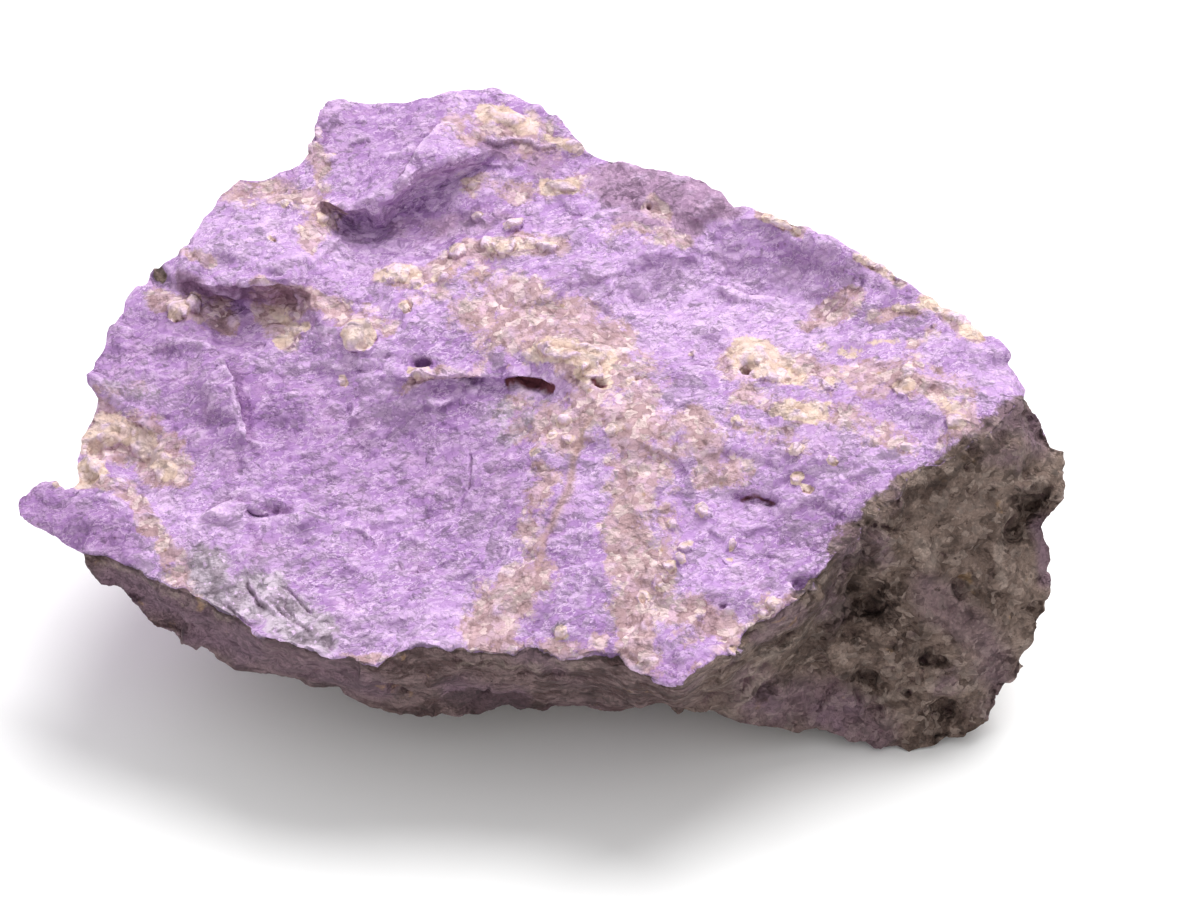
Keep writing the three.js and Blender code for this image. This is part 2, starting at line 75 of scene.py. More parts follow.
# The fine skin
MOST_TRIANGLES = 196000
TRIANGLES_ADDED = 5  # by cutting one triangle, with the cuts that its neighbours get
SMOOTH_ROUNDS = 5
EDGES_FREED = 0.15  # how far a sharp edge of the solid may still round, as a share
NORMAL_ROUNDS = 3
ON_TABLE = 0.02 * MM  # points lower than this stay where they are
ABOVE_TABLE = 1.2 * MM  # over which the relief fades out towards the table
SIGHT_SLACK = 0.5 * MM  # how far behind the first surface a point still counts as seen
STEP_WIDTH = 0.22  # mm to each side of a ledge's line over which it steps down
LEDGE_LIFT = 0.6  # the share of a ledge's height by which its upper side stands proud
LEDGE_TAPER = 0.2  # the share of a ledge over which each end runs out
CRACK_TAPER = 0.3  # and of a crack
LEDGE_BEND = 2.6  # how far ledges stray from their lines, in pixels, in wide bends
LEDGE_FRAY = 0.9  # and in small ones
SWELL_GAIN = 1.6  # brings the fractal noise to about -1 to 1
SWELL_STEP = 13.7  # between two seeds of the noise
HALF = Vector((0.5, 0.5, 0.5))
HEXAGON_SLANT = 0.87  # of a knob's outline, about the cosine of 30 degrees
CHIP_SLOPE = 0.6  # how wide the slope between two chips is, in mm
CHIP_STEP = 9.1  # between two seeds of the chips
CHIP_WARP = 0.35  # how crooked the chips are, in cells
CHIP_WARP_SCALE = 1.7  # how often they turn, against the cells
CHIP_TILT_SCALE = 31  # spreads the chips' centres out, so that each has its own tilt
KNOB_LEAN = 0.35  # how much higher than its middle a knob's lower edge is, as a share of its height
KNOB_SHARE = 0.9  # of a knob's height, which the CAD solid has in part already
KNOB_DOME = 0.45  # how much lower than its middle a knob is at its edge, as a share of its height
ALONG_BREAK = (1.7, 1, 1)  # chips of the lilac stone are this much longer across the picture
SHARP_ANGLES = (math.radians(22), math.radians(50))  # from the first, edges round less and less
CRISP_ANGLE = math.radians(38)  # steeper edges of the finished skin aren't shaded smooth

# The rim, where the broad face breaks off along the front and the right end
RIM = [
    (83, 554), (100, 551), (133, 569), (161, 579), (194, 595), (220, 608), (243, 623), (258, 636),
    (279, 643), (304, 648), (322, 656), (345, 660), (377, 665), (401, 652), (429, 646), (457, 651),
    (501, 653), (534, 647), (562, 657), (588, 652), (623, 652), (631, 670), (644, 677), (667, 683),
    (682, 681), (695, 672), (728, 656), (738, 650), (741, 635), (756, 624), (779, 619), (792, 606),
    (807, 588), (822, 568), (838, 550), (861, 533), (876, 519), (881, 504), (902, 496), (917, 475),
    (927, 465), (965, 452), (998, 427), (1014, 409), (1024, 393),
]
BELOW_RIM = RIM + [(1110, 380), (1110, 810), (-10, 810), (-10, 560)]

# Ledges, as (points, height in mm, reach in mm). Walking from the first point to the last, the raised
# side is on the left. The two sides come level again over a few times the reach.
LEDGES = [
    # the lips of the two blocks
    (
        [(333, 208), (357, 207), (380, 202), (404, 193), (409, 178), (418, 170), (447, 163), (480, 152)],
        0.5, 2,
    ),
    ([(185, 270), (207, 276), (222, 287), (240, 286), (268, 286), (300, 284)], 0.6, 1.8),
    # the tongue and the peak
    ([(452, 111), (432, 134), (409, 162), (397, 182), (392, 196)], 0.9, 4),
    ([(355, 150), (372, 141), (392, 137), (408, 133)], 0.3, 3),
    ([(318, 128), (345, 121), (372, 124)], 0.4, 2),
    ([(470, 135), (496, 142), (520, 140), (545, 149), (575, 150)], 0.7, 2.5),
    ([(470, 160), (500, 168), (528, 165), (560, 172)], 0.5, 2.5),
    ([(330, 205), (350, 222), (362, 236)], 0.4, 2),
    ([(225, 222), (255, 214), (290, 218), (318, 210)], 0.4, 2.5),
    # the block at the left and the recess below it
    ([(185, 300), (215, 305), (250, 300), (290, 312)], 0.4, 2),
    ([(296, 292), (306, 268), (325, 252), (345, 240), (384, 236), (408, 252)], 0.4, 3),
    ([(340, 270), (360, 262), (392, 262), (420, 256), (448, 246)], 0.4, 2.5),
    ([(300, 318), (330, 316), (356, 306)], 0.4, 2),
    ([(262, 345), (280, 352), (300, 343), (318, 330)], 0.4, 2),
    ([(344, 350), (366, 356), (385, 352), (400, 353)], 0.5, 1.5),
    # below the tongue
    ([(383, 290), (410, 296), (436, 288), (462, 276), (500, 262), (540, 256)], 0.45, 2.5),
    ([(404, 240), (440, 232), (480, 222), (520, 214)], 0.25, 4),
    # the left
    ([(110, 345), (150, 352), (190, 346), (228, 356)], 0.2, 5),
    ([(250, 452), (240, 412), (232, 380), (224, 359), (206, 362)], 0.9, 5),
    ([(150, 400), (175, 408), (205, 405)], 0.2, 4),
    ([(98, 432), (118, 420), (142, 424), (166, 440)], 0.5, 2),
    ([(165, 470), (190, 462), (215, 470)], 0.25, 3),
    ([(92, 500), (130, 508), (165, 520)], 0.3, 3),
    ([(200, 602), (222, 590), (245, 600)], 0.3, 2),
    ([(247, 566), (242, 580), (258, 604), (288, 622)], 0.5, 2),
    # the wide scoop
    ([(404, 378), (440, 379), (470, 376), (502, 380)], 0.5, 2.5),
    ([(330, 430), (380, 404), (430, 392), (470, 392)], 0.2, 5),
    ([(300, 480), (345, 452), (400, 432), (455, 428)], 0.2, 4),
    ([(330, 540), (378, 508), (430, 490), (470, 486)], 0.2, 4),
    ([(345, 610), (400, 588), (440, 582), (500, 572)], 0.25, 4),
    ([(300, 566), (340, 552), (385, 540)], 0.2, 3),
    ([(470, 520), (500, 490), (515, 455), (522, 415)], 0.2, 4),
    # the ridge between the scoops
    ([(560, 316), (595, 300), (618, 279), (646, 252)], 0.35, 3),
    ([(530, 350), (560, 343), (590, 350), (608, 362)], 0.5, 2),
    ([(568, 384), (590, 370), (604, 376)], 0.5, 1.6),
    ([(620, 410), (650, 398), (690, 404), (720, 396)], 0.25, 3),
    ([(640, 432), (690, 436), (730, 430), (760, 420)], 0.25, 3),
    # the right scoop
    ([(640, 330), (700, 345), (760, 340), (790, 330)], 0.2, 4),
    ([(735, 216), (790, 232), (840, 256), (888, 282)], 0.3, 4),
    ([(650, 262), (700, 252), (750, 262)], 0.2, 3),
    ([(789, 300), (815, 294), (850, 300)], 0.3, 2),
    ([(870, 300), (900, 306), (930, 316), (960, 330)], 0.35, 2),
    # the right side
    ([(735, 352), (765, 350), (800, 362)], 0.4, 2),
    ([(775, 402), (800, 398), (824, 406)], 0.3, 2),
    ([(860, 372), (890, 362), (925, 368), (950, 380)], 0.25, 3),
    ([(820, 430), (860, 424), (900, 430), (940, 420)], 0.25, 3),
    ([(700, 560), (740, 552), (790, 556)], 0.2, 4),
    ([(610, 640), (640, 660), (680, 664), (715, 650)], 0.3, 3),
    ([(840, 470), (880, 462), (920, 448)], 0.3, 3),
    # the crust
    ([(806, 626), (777, 655), (762, 674), (736, 705)], 1.2, 4),
    ([(840, 600), (870, 590), (900, 606)], 0.6, 2),
    ([(900, 560), (930, 548), (965, 560), (985, 590)], 0.6, 2.5),
    ([(850, 660), (880, 668), (915, 655)], 0.6, 2),
    ([(1004, 538), (1014, 514), (1025, 493), (1040, 478)], 0.7, 2.5),
    # the front
    ([(365, 681), (400, 690), (437, 697)], 0.6, 2),
    ([(470, 672), (520, 680), (580, 676), (640, 690)], 0.5, 2),
    ([(120, 578), (160, 598), (210, 624)], 0.3, 2),
]

# Cracks, as (points, depth in mm, half width in mm)
CRACKS = [
    ([(390, 385), (414, 382), (452, 380), (478, 384), (502, 386)], 0.7, 0.35),
    ([(500, 383), (515, 381), (535, 384), (557, 390)], 1.5, 0.7),
    ([(465, 440), (470, 460), (469, 503)], 0.3, 0.18),
    ([(393, 557), (400, 572)], 0.3, 0.2),
    ([(574, 378), (588, 370), (595, 364)], 0.6, 0.35),
    ([(247, 567), (244, 580), (255, 602), (272, 612)], 0.5, 0.22),
    ([(352, 353), (372, 357), (400, 353)], 0.35, 0.25),
    ([(250, 514), (264, 516), (282, 513)], 0.4, 0.4),
    ([(728, 500), (745, 501), (770, 502), (784, 503)], 0.4, 0.4),
    ([(262, 602), (280, 610), (300, 624), (318, 640)], 0.35, 0.2),
    ([(270, 585), (288, 590), (300, 600), (318, 618)], 0.35, 0.18),
    ([(288, 590), (284, 604), (300, 624)], 0.3, 0.16),
    ([(215, 600), (235, 612), (262, 628)], 0.3, 0.2),
    ([(365, 681), (400, 689), (437, 697)], 0.6, 0.3),
    ([(404, 573), (432, 572)], 0.3, 0.18),
]

# Knobs of cream stone, as (across, down, half width, half height, tilt in degrees, height in mm)
KNOBS = [
    (358, 336, 14, 15, 60, 1.1), (177, 312, 12, 9, -20, 0.8), (194, 303, 8, 8, 0, 0.8),
    (396, 275, 13, 8, -15, 0.8), (417, 282, 7, 6, 0, 0.6), (442, 277, 6, 5, 0, 0.6),
    (457, 250, 8, 8, 20, 0.7), (505, 246, 12, 7, 0, 0.8), (548, 246, 9, 5, 0, 0.6),
    (404, 306, 5, 6, 0, 0.6), (485, 243, 6, 5, 0, 0.5), (530, 243, 6, 4, 0, 0.4),
    (560, 186, 14, 5, 10, 0.6), (515, 223, 8, 5, 0, 0.5), (477, 217, 5, 4, 0, 0.4),
    (505, 117, 18, 9, 15, 0.5), (566, 141, 12, 4, 20, 0.3), (470, 184, 10, 4, 0, 0.4),
    (560, 352, 20, 7, 10, 0.7), (592, 370, 13, 8, 35, 0.8), (545, 350, 7, 6, 0, 0.5),
    (636, 384, 6, 4, 0, 0.5), (421, 375, 8, 7, 0, 0.5), (342, 381, 4, 4, 0, 0.4),
    (752, 357, 18, 7, 5, 0.6), (770, 374, 20, 7, 10, 0.7), (800, 410, 21, 9, 0, 0.4),
    (908, 371, 6, 7, 0, 0.6), (905, 387, 11, 7, -10, 0.6), (828, 385, 7, 5, 0, 0.5),
    (954, 421, 9, 6, 0, 0.5), (796, 450, 7, 5, 0, 0.5), (833, 460, 6, 5, 0, 0.4),
    (564, 419, 6, 5, 0, 0.5), (553, 432, 5, 4, 0, 0.4), (567, 438, 5, 5, 0, 0.4),
    (537, 455, 5, 5, 0, 0.4), (611, 430, 6, 6, 0, 0.5), (705, 510, 8, 6, 30, 0.6),
    (674, 523, 5, 4, 0, 0.4), (729, 545, 4, 4, 0, 0.3), (561, 631, 7, 7, 0, 0.4),
    (776, 603, 8, 6, 0, 0.6), (731, 650, 5, 4, 0, 0.4), (643, 597, 6, 6, 0, 0.4),
    (780, 223, 14, 4, 25, 0.4), (873, 264, 13, 4, 30, 0.4), (950, 317, 20, 5, 30, 0.5),
    (905, 308, 10, 4, 0, 0.3), (696, 354, 4, 4, 0, 0.4), (58, 483, 5, 3, 0, 0.3),
    (740, 424, 5, 3, 0, 0.3), (700, 615, 5, 4, 0, 0.3), (110, 440, 12, 8, 0, 0.6),
    (140, 450, 11, 8, 30, 0.5), (92, 466, 9, 9, 0, 0.5), (318, 135, 4, 6, 0, 0.4),
    (310, 148, 5, 4, 0, 0.4), (330, 158, 7, 4, -20, 0.4), (921, 553, 9, 7, 0, 0.7),
    (668, 566, 7, 5, 20, 0.4), (688, 546, 8, 5, -20, 0.5), (658, 584, 6, 4, 0, 0.4),
    (680, 560, 5, 4, 40, 0.4), (797, 478, 6, 5, 0, 0.4), (806, 488, 5, 4, 20, 0.4),
    (812, 586, 5, 4, 0, 0.4), (800, 592, 5, 4, 0, 0.4), (750, 628, 6, 4, 10, 0.4),
    (764, 612, 5, 4, 0, 0.4), (728, 560, 4, 3, 0, 0.3), (288, 205, 5, 4, 0, 0.4),
    (322, 218, 6, 4, 30, 0.4), (296, 232, 5, 4, 0, 0.3), (270, 240, 4, 3, 0, 0.3),
]

# Pits, as (across, down, half width, half height, depth in mm)
PITS = [
    (868, 607, 18, 12, 1.3), (960, 590, 9, 11, 1), (866, 676, 12, 8, 1), (930, 660, 11, 6, 0.9),
    (943, 712, 11, 13, 0.9), (852, 632, 12, 8, 0.8), (874, 533, 9, 5, 0.8), (745, 368, 5, 4, 1),
    (644, 598, 4, 5, 0.7), (804, 583, 13, 7, 0.9), (721, 605, 6, 4, 0.6), (648, 207, 3, 3, 0.6),
    (600, 382, 6, 4, 0.5), (222, 306, 22, 9, 0.6), (285, 320, 14, 8, 0.6), (1033, 502, 13, 12, 1),
    (260, 345, 8, 4, 0.5), (690, 545, 5, 4, 0.3), (932, 330, 4, 3, 0.3), (915, 346, 5, 4, 0.3),
    (98, 448, 7, 10, 0.6), (120, 462, 10, 6, 0.5), (846, 560, 6, 7, 0.7), (905, 692, 8, 5, 0.7),
    (422, 361, 8, 5, 0.8),
]

# Patches of another stone, and places of painted shade and light, as brush strokes: (points, half width
# in pixels, strength)
TAN_STROKES = [
    # the band from the middle of the face down to its rim
    ([(500, 310), (540, 325), (590, 345), (620, 380)], 40, 0.85),
    ([(530, 420), (560, 430), (600, 410), (640, 395)], 30, 0.8),
    ([(628, 430), (634, 480), (628, 540), (632, 600), (640, 660)], 24, 1),
    ([(655, 560), (670, 600), (690, 630)], 20, 0.8),
    ([(655, 450), (665, 500), (670, 530)], 16, 0.6),
    ([(650, 430), (700, 440), (720, 470)], 26, 0.75),
    ([(545, 470), (530, 540), (520, 600)], 16, 0.6),
    ([(485, 640), (505, 600), (530, 580)], 26, 0.9),
    ([(600, 640), (560, 650), (500, 645)], 12, 0.6),
    # the mottled right side
    ([(735, 360), (790, 370), (850, 380), (905, 375), (960, 400)], 20, 0.72),
    ([(740, 395), (790, 405), (850, 420), (900, 440)], 16, 0.65),
    ([(940, 400), (970, 420), (945, 440)], 14, 0.7),
    ([(690, 415), (750, 430), (800, 445)], 14, 0.6),
    ([(808, 322), (825, 312), (850, 298)], 14, 0.9),
    ([(870, 322), (900, 308), (925, 312)], 8, 0.7),
    ([(915, 345), (935, 335)], 8, 0.5),
    ([(760, 214), (800, 230)], 6, 0.8),
    ([(855, 256), (900, 282)], 5, 0.8),
    ([(925, 300), (980, 335)], 8, 0.9),
    ([(610, 232), (650, 228), (690, 238)], 10, 0.7),
    ([(650, 205), (665, 215)], 9, 0.7),
    # the peak and the slope below it
    ([(455, 130), (500, 125), (555, 145)], 20, 0.6),
    ([(470, 185), (520, 190), (580, 185)], 12, 0.7),
    ([(385, 275), (440, 272), (470, 250), (520, 244), (560, 246)], 12, 0.9),
    ([(470, 300), (500, 320), (480, 345)], 16, 0.6),
    ([(400, 300), (440, 296)], 10, 0.5),
    # the upper left
    ([(230, 190), (290, 195), (330, 215), (310, 235)], 16, 0.75),
    ([(305, 150), (320, 165), (325, 185)], 10, 0.8),
    ([(190, 255), (210, 262)], 8, 0.7),
    ([(160, 300), (190, 312), (225, 315)], 14, 0.8),
    ([(262, 288), (285, 296), (300, 306)], 12, 0.9),
    ([(262, 318), (285, 330), (290, 342)], 12, 0.8),
    ([(290, 290), (330, 310), (390, 325)], 12, 0.7),
    # the left edge and the front
    ([(100, 430), (140, 440), (165, 462)], 26, 1),
    ([(80, 480), (130, 490), (150, 525)], 9, 0.8),
    ([(165, 545), (180, 570), (190, 590)], 14, 0.8),
    ([(100, 395), (140, 390)], 9, 0.4),
    ([(395, 390), (440, 372), (480, 372)], 7, 0.6),
    ([(700, 610), (740, 640), (770, 610), (820, 585)], 13, 0.8),
    ([(660, 600), (690, 640)], 12, 0.7),
    ([(600, 650), (640, 670), (700, 668), (740, 645)], 8, 0.6),
    ([(340, 660), (420, 652), (500, 655), (600, 655)], 5, 0.6),
]
CREAM_STROKES = [
    ([(485, 110), (505, 116), (526, 128)], 11, 1),
    ([(549, 136), (580, 149)], 5, 0.8),
    ([(546, 182), (575, 190)], 8, 0.9),
    ([(735, 352), (765, 356), (795, 376)], 12, 0.9),
    ([(778, 408), (822, 412)], 10, 0.8),
    ([(541, 350), (575, 352), (604, 366)], 12, 1),
    ([(585, 375), (604, 380)], 9, 1),
    ([(88, 440), (105, 425), (140, 440), (165, 465)], 14, 0.9),
    ([(84, 480), (100, 470)], 10, 0.9),
    ([(765, 217), (795, 230)], 4, 1),
    ([(858, 257), (890, 274)], 4, 1),
    ([(925, 301), (980, 334)], 6, 1),
    ([(896, 306), (922, 311)], 4, 0.9),
    ([(412, 372), (430, 378)], 6, 0.8),
    ([(385, 276), (411, 272)], 8, 0.9),
    ([(494, 246), (518, 244)], 7, 0.9),
    ([(268, 305), (300, 325), (280, 345)], 7, 0.6),
    ([(148, 620), (168, 631)], 6, 0.8),
    ([(225, 662), (250, 668)], 5, 0.7),
    ([(296, 676), (335, 686)], 5, 0.6),
    ([(820, 345), (850, 350), (900, 345)], 5, 0.5),
    ([(930, 400), (965, 410)], 8, 0.6),
]
CRUST_STROKES = [
    ([(895, 520), (980, 470), (1030, 430)], 34, 1),
    ([(870, 560), (960, 540), (1030, 520), (1050, 560)], 44, 1),
    ([(790, 690), (860, 640), (950, 620), (1030, 600)], 56, 1),
    ([(840, 720), (920, 700), (1000, 680)], 46, 1),
    ([(700, 700), (760, 680), (820, 640)], 26, 0.95),
    ([(380, 690), (450, 690), (520, 700), (600, 695), (680, 705)], 18, 0.75),
    ([(154, 268), (160, 276)], 7, 0.8),
    ([(100, 575), (160, 615), (240, 660)], 8, 0.5),
    ([(798, 586), (815, 579)], 7, 0.8),
]
GREY_STROKES = [
    ([(205, 565), (215, 590), (240, 600)], 22, 0.9),
    ([(255, 590), (290, 620), (315, 635)], 24, 1),
    ([(108, 384), (150, 392)], 11, 0.5),
    ([(500, 405), (510, 440), (525, 420)], 14, 0.5),
    ([(557, 628), (566, 634)], 6, 0.8),
]
# Pale places: pale stone, and painted light on the right scoop and other slopes that face the light
PALE_AND_LIT_STROKES = [
    ([(640, 300), (720, 320), (790, 330)], 46, 0.9),
    ([(330, 250), (400, 255), (450, 290)], 22, 0.4),
    ([(215, 230), (300, 245)], 26, 0.4),
    ([(100, 386), (150, 393)], 9, 1),
    ([(640, 400), (720, 420), (860, 440)], 16, 0.5),
    ([(420, 470), (460, 450), (500, 440)], 22, 0.4),
    ([(330, 640), (420, 620), (470, 610)], 18, 0.5),
    ([(860, 350), (940, 350), (1000, 365)], 20, 0.4),
]
# Painted shade, multiplied into the colour: on slopes and risers that face away from the light, in
# folds, in holes and under lips
SHADE_STROKES = [
    ([(120, 380), (250, 430), (380, 450), (480, 470)], 60, 0.36),
    ([(330, 120), (370, 150), (400, 140)], 34, 0.35),
    ([(346, 214), (362, 226), (385, 216), (402, 196)], 9, 0.2),
    ([(402, 190), (420, 183), (444, 175), (476, 162), (492, 154)], 8, 0.2),
    ([(352, 228), (362, 236)], 6, 0.3),
    ([(400, 232), (440, 222), (500, 205)], 22, 0.15),
    ([(480, 128), (530, 150), (580, 165)], 20, 0.3),
    ([(432, 112), (444, 106)], 10, 0.4),
    ([(110, 345), (160, 330), (230, 345)], 30, 0.45),
    ([(120, 375), (200, 385), (220, 400)], 22, 0.25),
    ([(236, 372), (246, 410), (254, 440)], 7, 0.9),
    ([(300, 400), (380, 410), (450, 410)], 34, 0.35),
    ([(300, 450), (360, 470), (420, 480)], 30, 0.2),
    ([(735, 235), (800, 262), (850, 280), (890, 290)], 16, 0.25),
    ([(655, 672), (690, 668)], 14, 0.45),
    ([(700, 630), (712, 610)], 12, 0.4),
    ([(740, 494), (755, 492), (776, 497)], 5, 0.9),
    ([(248, 511), (268, 512), (290, 510)], 5, 1),
    ([(254, 520), (258, 540), (256, 560)], 5, 0.5),
    ([(415, 362), (429, 362)], 4, 1),
    ([(410, 385), (440, 382), (480, 385)], 3, 0.7),
    ([(190, 288), (240, 296), (300, 298)], 11, 0.9),
    ([(770, 540), (810, 520), (850, 510)], 24, 0.25),
    ([(30, 500), (80, 525), (120, 545)], 26, 0.6),
    ([(860, 400), (905, 395)], 14, 0.25),
    ([(520, 480), (540, 520), (545, 560)], 16, 0.25),
]
# Painted shade, dark red: in the deep crack, in the nick under its lip and under a cream knob
CRACK_SHADE_STROKES = [
    ([(506, 384), (520, 383), (536, 386), (550, 389)], 5, 1),
    ([(745, 497), (760, 495), (776, 499)], 3, 0.7),
    ([(596, 381), (604, 384)], 4, 0.8),
]
PURPLE_STROKES = [
    ([(110, 580), (180, 612), (250, 650)], 16, 1),
    ([(250, 650), (310, 670), (380, 690)], 12, 0.7),
    ([(450, 692), (520, 700)], 12, 0.9),
    ([(520, 655), (560, 665)], 8, 0.6),
    ([(760, 700), (830, 705), (870, 735)], 24, 0.7),
    ([(1042, 525), (1050, 548), (1046, 575)], 12, 1),
    ([(1000, 400), (1045, 440)], 16, 0.6),
    ([(760, 640), (800, 610)], 8, 0.6),
    ([(930, 590), (985, 640), (1000, 680)], 18, 0.5),
]
DUSKY_STROKES = [
    ([(185, 284), (215, 292), (262, 295), (300, 296)], 10, 1),
    ([(300, 196), (325, 205), (338, 211)], 5, 0.7),
    ([(262, 178), (290, 190)], 5, 0.9),
    ([(165, 300), (200, 312), (235, 318)], 12, 0.5),
    ([(612, 180), (660, 188), (720, 200)], 24, 1),
    ([(630, 215), (690, 222)], 16, 0.8),
    ([(400, 232), (450, 225), (500, 215)], 14, 0.5),
    ([(490, 140), (525, 150), (550, 165)], 18, 0.6),
    ([(215, 188), (290, 196)], 10, 0.5),
]
# Painted highlights along the crust's ridges
HIGHLIGHT_STROKES = [
    ([(806, 626), (777, 655), (762, 674), (736, 705)], 2.5, 0.8),
    ([(1004, 538), (1014, 514), (1025, 493), (1040, 478)], 2.5, 0.8),
    ([(1000, 545), (1004, 560), (1000, 590)], 4, 0.7),
    ([(920, 545), (940, 556), (930, 566)], 8, 0.6),
    ([(850, 590), (836, 612), (812, 634)], 5, 0.5),
    ([(885, 700), (910, 690), (940, 684)], 4, 0.7),
    ([(100, 562), (170, 590), (230, 618)], 4, 0.5),
    ([(460, 662), (520, 668), (590, 662)], 5, 0.5),
]
# Where the crust is even, and where shade is painted into its creases, pits and hollows
EVEN_STROKES = [
    ([(745, 655), (790, 632), (830, 590), (868, 545)], 20, 1),
    ([(700, 700), (780, 700), (850, 690), (870, 735)], 34, 1),
    ([(990, 430), (1035, 450)], 22, 0.8),
    ([(1040, 520), (1045, 600)], 14, 0.9),
    ([(960, 620), (990, 680)], 20, 0.7),
    ([(100, 575), (300, 665), (700, 690)], 40, 1),
]
CRUST_SHADE_STROKES = [
    ([(868, 545), (845, 568), (830, 590), (815, 612), (795, 635), (765, 650)], 12, 0.6),
    ([(800, 655), (780, 680), (760, 700)], 10, 0.6),
    ([(858, 560), (850, 600), (828, 632), (800, 655)], 12, 0.9),
    ([(866, 530), (872, 550)], 9, 0.8),
    ([(450, 700), (500, 700), (540, 706)], 9, 0.9),
    ([(860, 610), (885, 612)], 12, 0.7),
    ([(850, 676), (880, 682)], 8, 0.8),
    ([(1015, 500), (1045, 490)], 9, 0.8),
    ([(920, 655), (950, 665)], 9, 0.6),
    ([(935, 705), (955, 715)], 9, 0.6),
    ([(895, 520), (960, 465), (1005, 435)], 6, 0.7),
]
FACE_STROKES = {
    "tan": TAN_STROKES, "grey": GREY_STROKES, "pale_and_lit": PALE_AND_LIT_STROKES, "painted_shade": SHADE_STROKES,
    "dusky": DUSKY_STROKES,
}
CRUST_ONLY_STROKES = {"even": EVEN_STROKES, "dark": CRUST_SHADE_STROKES, "light": HIGHLIGHT_STROKES}
OTHER_STROKES = {"cream": CREAM_STROKES, "crack_shade": CRACK_SHADE_STROKES, "purple": PURPLE_STROKES}
VEIN = [
    (591, 417), (582, 429), (577, 450), (574, 463), (569, 483), (564, 498), (554, 516), (546, 532),
    (543, 549), (537, 565),
]


def in_picture(points):
    """Where points (in metres) are seen in the photograph, in pixels."""
    sight = points - np.array(EYE)
    scale = EYE_DISTANCE / (sight @ np.array(FORWARD)) / PIXEL
    across = PICTURE_CENTRE[0] + (sight @ np.array(RIGHT)) * scale
    down = PICTURE_CENTRE[1] - (sight @ np.array(UP)) * scale
    return np.stack([across, down], axis=1)


def smoothstep(low, high, value):
    share = np.clip((value - low) / (high - low), 0, 1)
    return share * share * (3 - 2 * share)


def swell(points, size, octaves, seed):
    """Fractal noise at points, about -1 to 1. size is its wavelength in mm."""
    scaled = points / (MM * size) + seed * SWELL_STEP
    values = [noise.fractal(place, 1.0, 2.0, octaves) for place in scaled.tolist()]
    return np.array(values) * SWELL_GAIN


def along_line(places, line):
    """For each place: distance to a line in pixels, signed positive on its left, and share along it."""
    corners = np.array(line, float)
    lengths = np.hypot(*(corners[1:] - corners[:-1]).T)
    starts = np.concatenate([[0], np.cumsum(lengths)[:-1]])
    best = np.full(len(places), np.inf)
    side = np.ones(len(places))
    share = np.zeros(len(places))
    for corner, step, length, start in zip(corners, corners[1:] - corners[:-1], lengths, starts):
        offset = places - corner
        t = np.clip(offset @ step / length**2, 0, 1)
        distance = np.hypot(*(offset - t[:, None] * step).T)
        closer = distance < best
        best[closer] = distance[closer]
        side[closer] = np.where(step[1] * offset[:, 0] - step[0] * offset[:, 1] > 0, 1, -1)[closer]
        share[closer] = ((start + t * length) / lengths.sum())[closer]
    return best * side, share


def brushed(places, strokes):
    """A soft mask from brush strokes: 1 along their middles, 0.5 at their half width."""
    mask = np.zeros(len(places))
    for line, half_width, strength in strokes:
        distance = np.abs(along_line(places, line)[0])
        mask = np.maximum(mask, strength * smoothstep(1.7, 0.3, distance / half_width))
    return mask


def turned(places, across, down, half_width, half_height, tilt):
    """Places seen from a middle, in half widths along a tilted axis and half heights over it."""
    turn = math.radians(tilt)
    x = places[:, 0] - across
    y = places[:, 1] - down
    along = (x * math.cos(turn) + y * math.sin(turn)) / half_width
    over = (-x * math.sin(turn) + y * math.cos(turn)) / half_height
    return along, over


def oval(places, across, down, half_width, half_height):
    """Distance from an upright oval's middle, which is 1 on its edge."""
    return np.hypot(*turned(places, across, down, half_width, half_height, 0))


def chip(places, across, down, half_width, half_height, tilt):
    """Distance from the middle of an angular chip with six sides, which is 1 on its edge."""
    along, over = turned(places, across, down, half_width, half_height, tilt)
    slanted = HEXAGON_SLANT * along
    return np.maximum(np.abs(over), np.maximum(np.abs(slanted + over / 2), np.abs(slanted - over / 2)))


def inside(places, outline):
    """Distance to an outline in pixels, positive inside it."""
    corners = np.array(outline, float)
    distance = np.abs(along_line(places, outline + outline[:1])[0])
    within = np.zeros(len(places), bool)
    for (ax, ay), (bx, by) in zip(corners, np.roll(corners, -1, axis=0)):
        spans = (ay > places[:, 1]) != (by > places[:, 1])
        with np.errstate(divide="ignore", invalid="ignore"):
            crossing = ax + (bx - ax) * (places[:, 1] - ay) / (by - ay)
        within ^= spans & (places[:, 0] < crossing)
    return np.where(within, distance, -distance)


def solid_copy(node):
    """A copy of the CAD solid's mesh, its shared corners merged."""
    mesh = bmesh.new()
    mesh.from_mesh(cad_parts[node].data)
    bmesh.ops.remove_doubles(mesh, verts=mesh.verts, dist=0.001 * MM)
    mesh.normal_update()
    return mesh


def halve_edges(mesh, faces):
    """Cuts each of some triangles into four."""
    cut = {edge for face in faces for edge in face.edges}
    edges = [edge for edge in mesh.edges if edge in cut]  # in the mesh's order, not the set's
    bmesh.ops.subdivide_edges(mesh, edges=edges, cuts=1, use_grid_fill=True)
    bmesh.ops.triangulate(mesh, faces=mesh.faces)
    mesh.normal_update()


def facing_eye(mesh):
    return [face for face in mesh.faces if face.normal.dot(EYE - face.calc_center_median()) > 0]


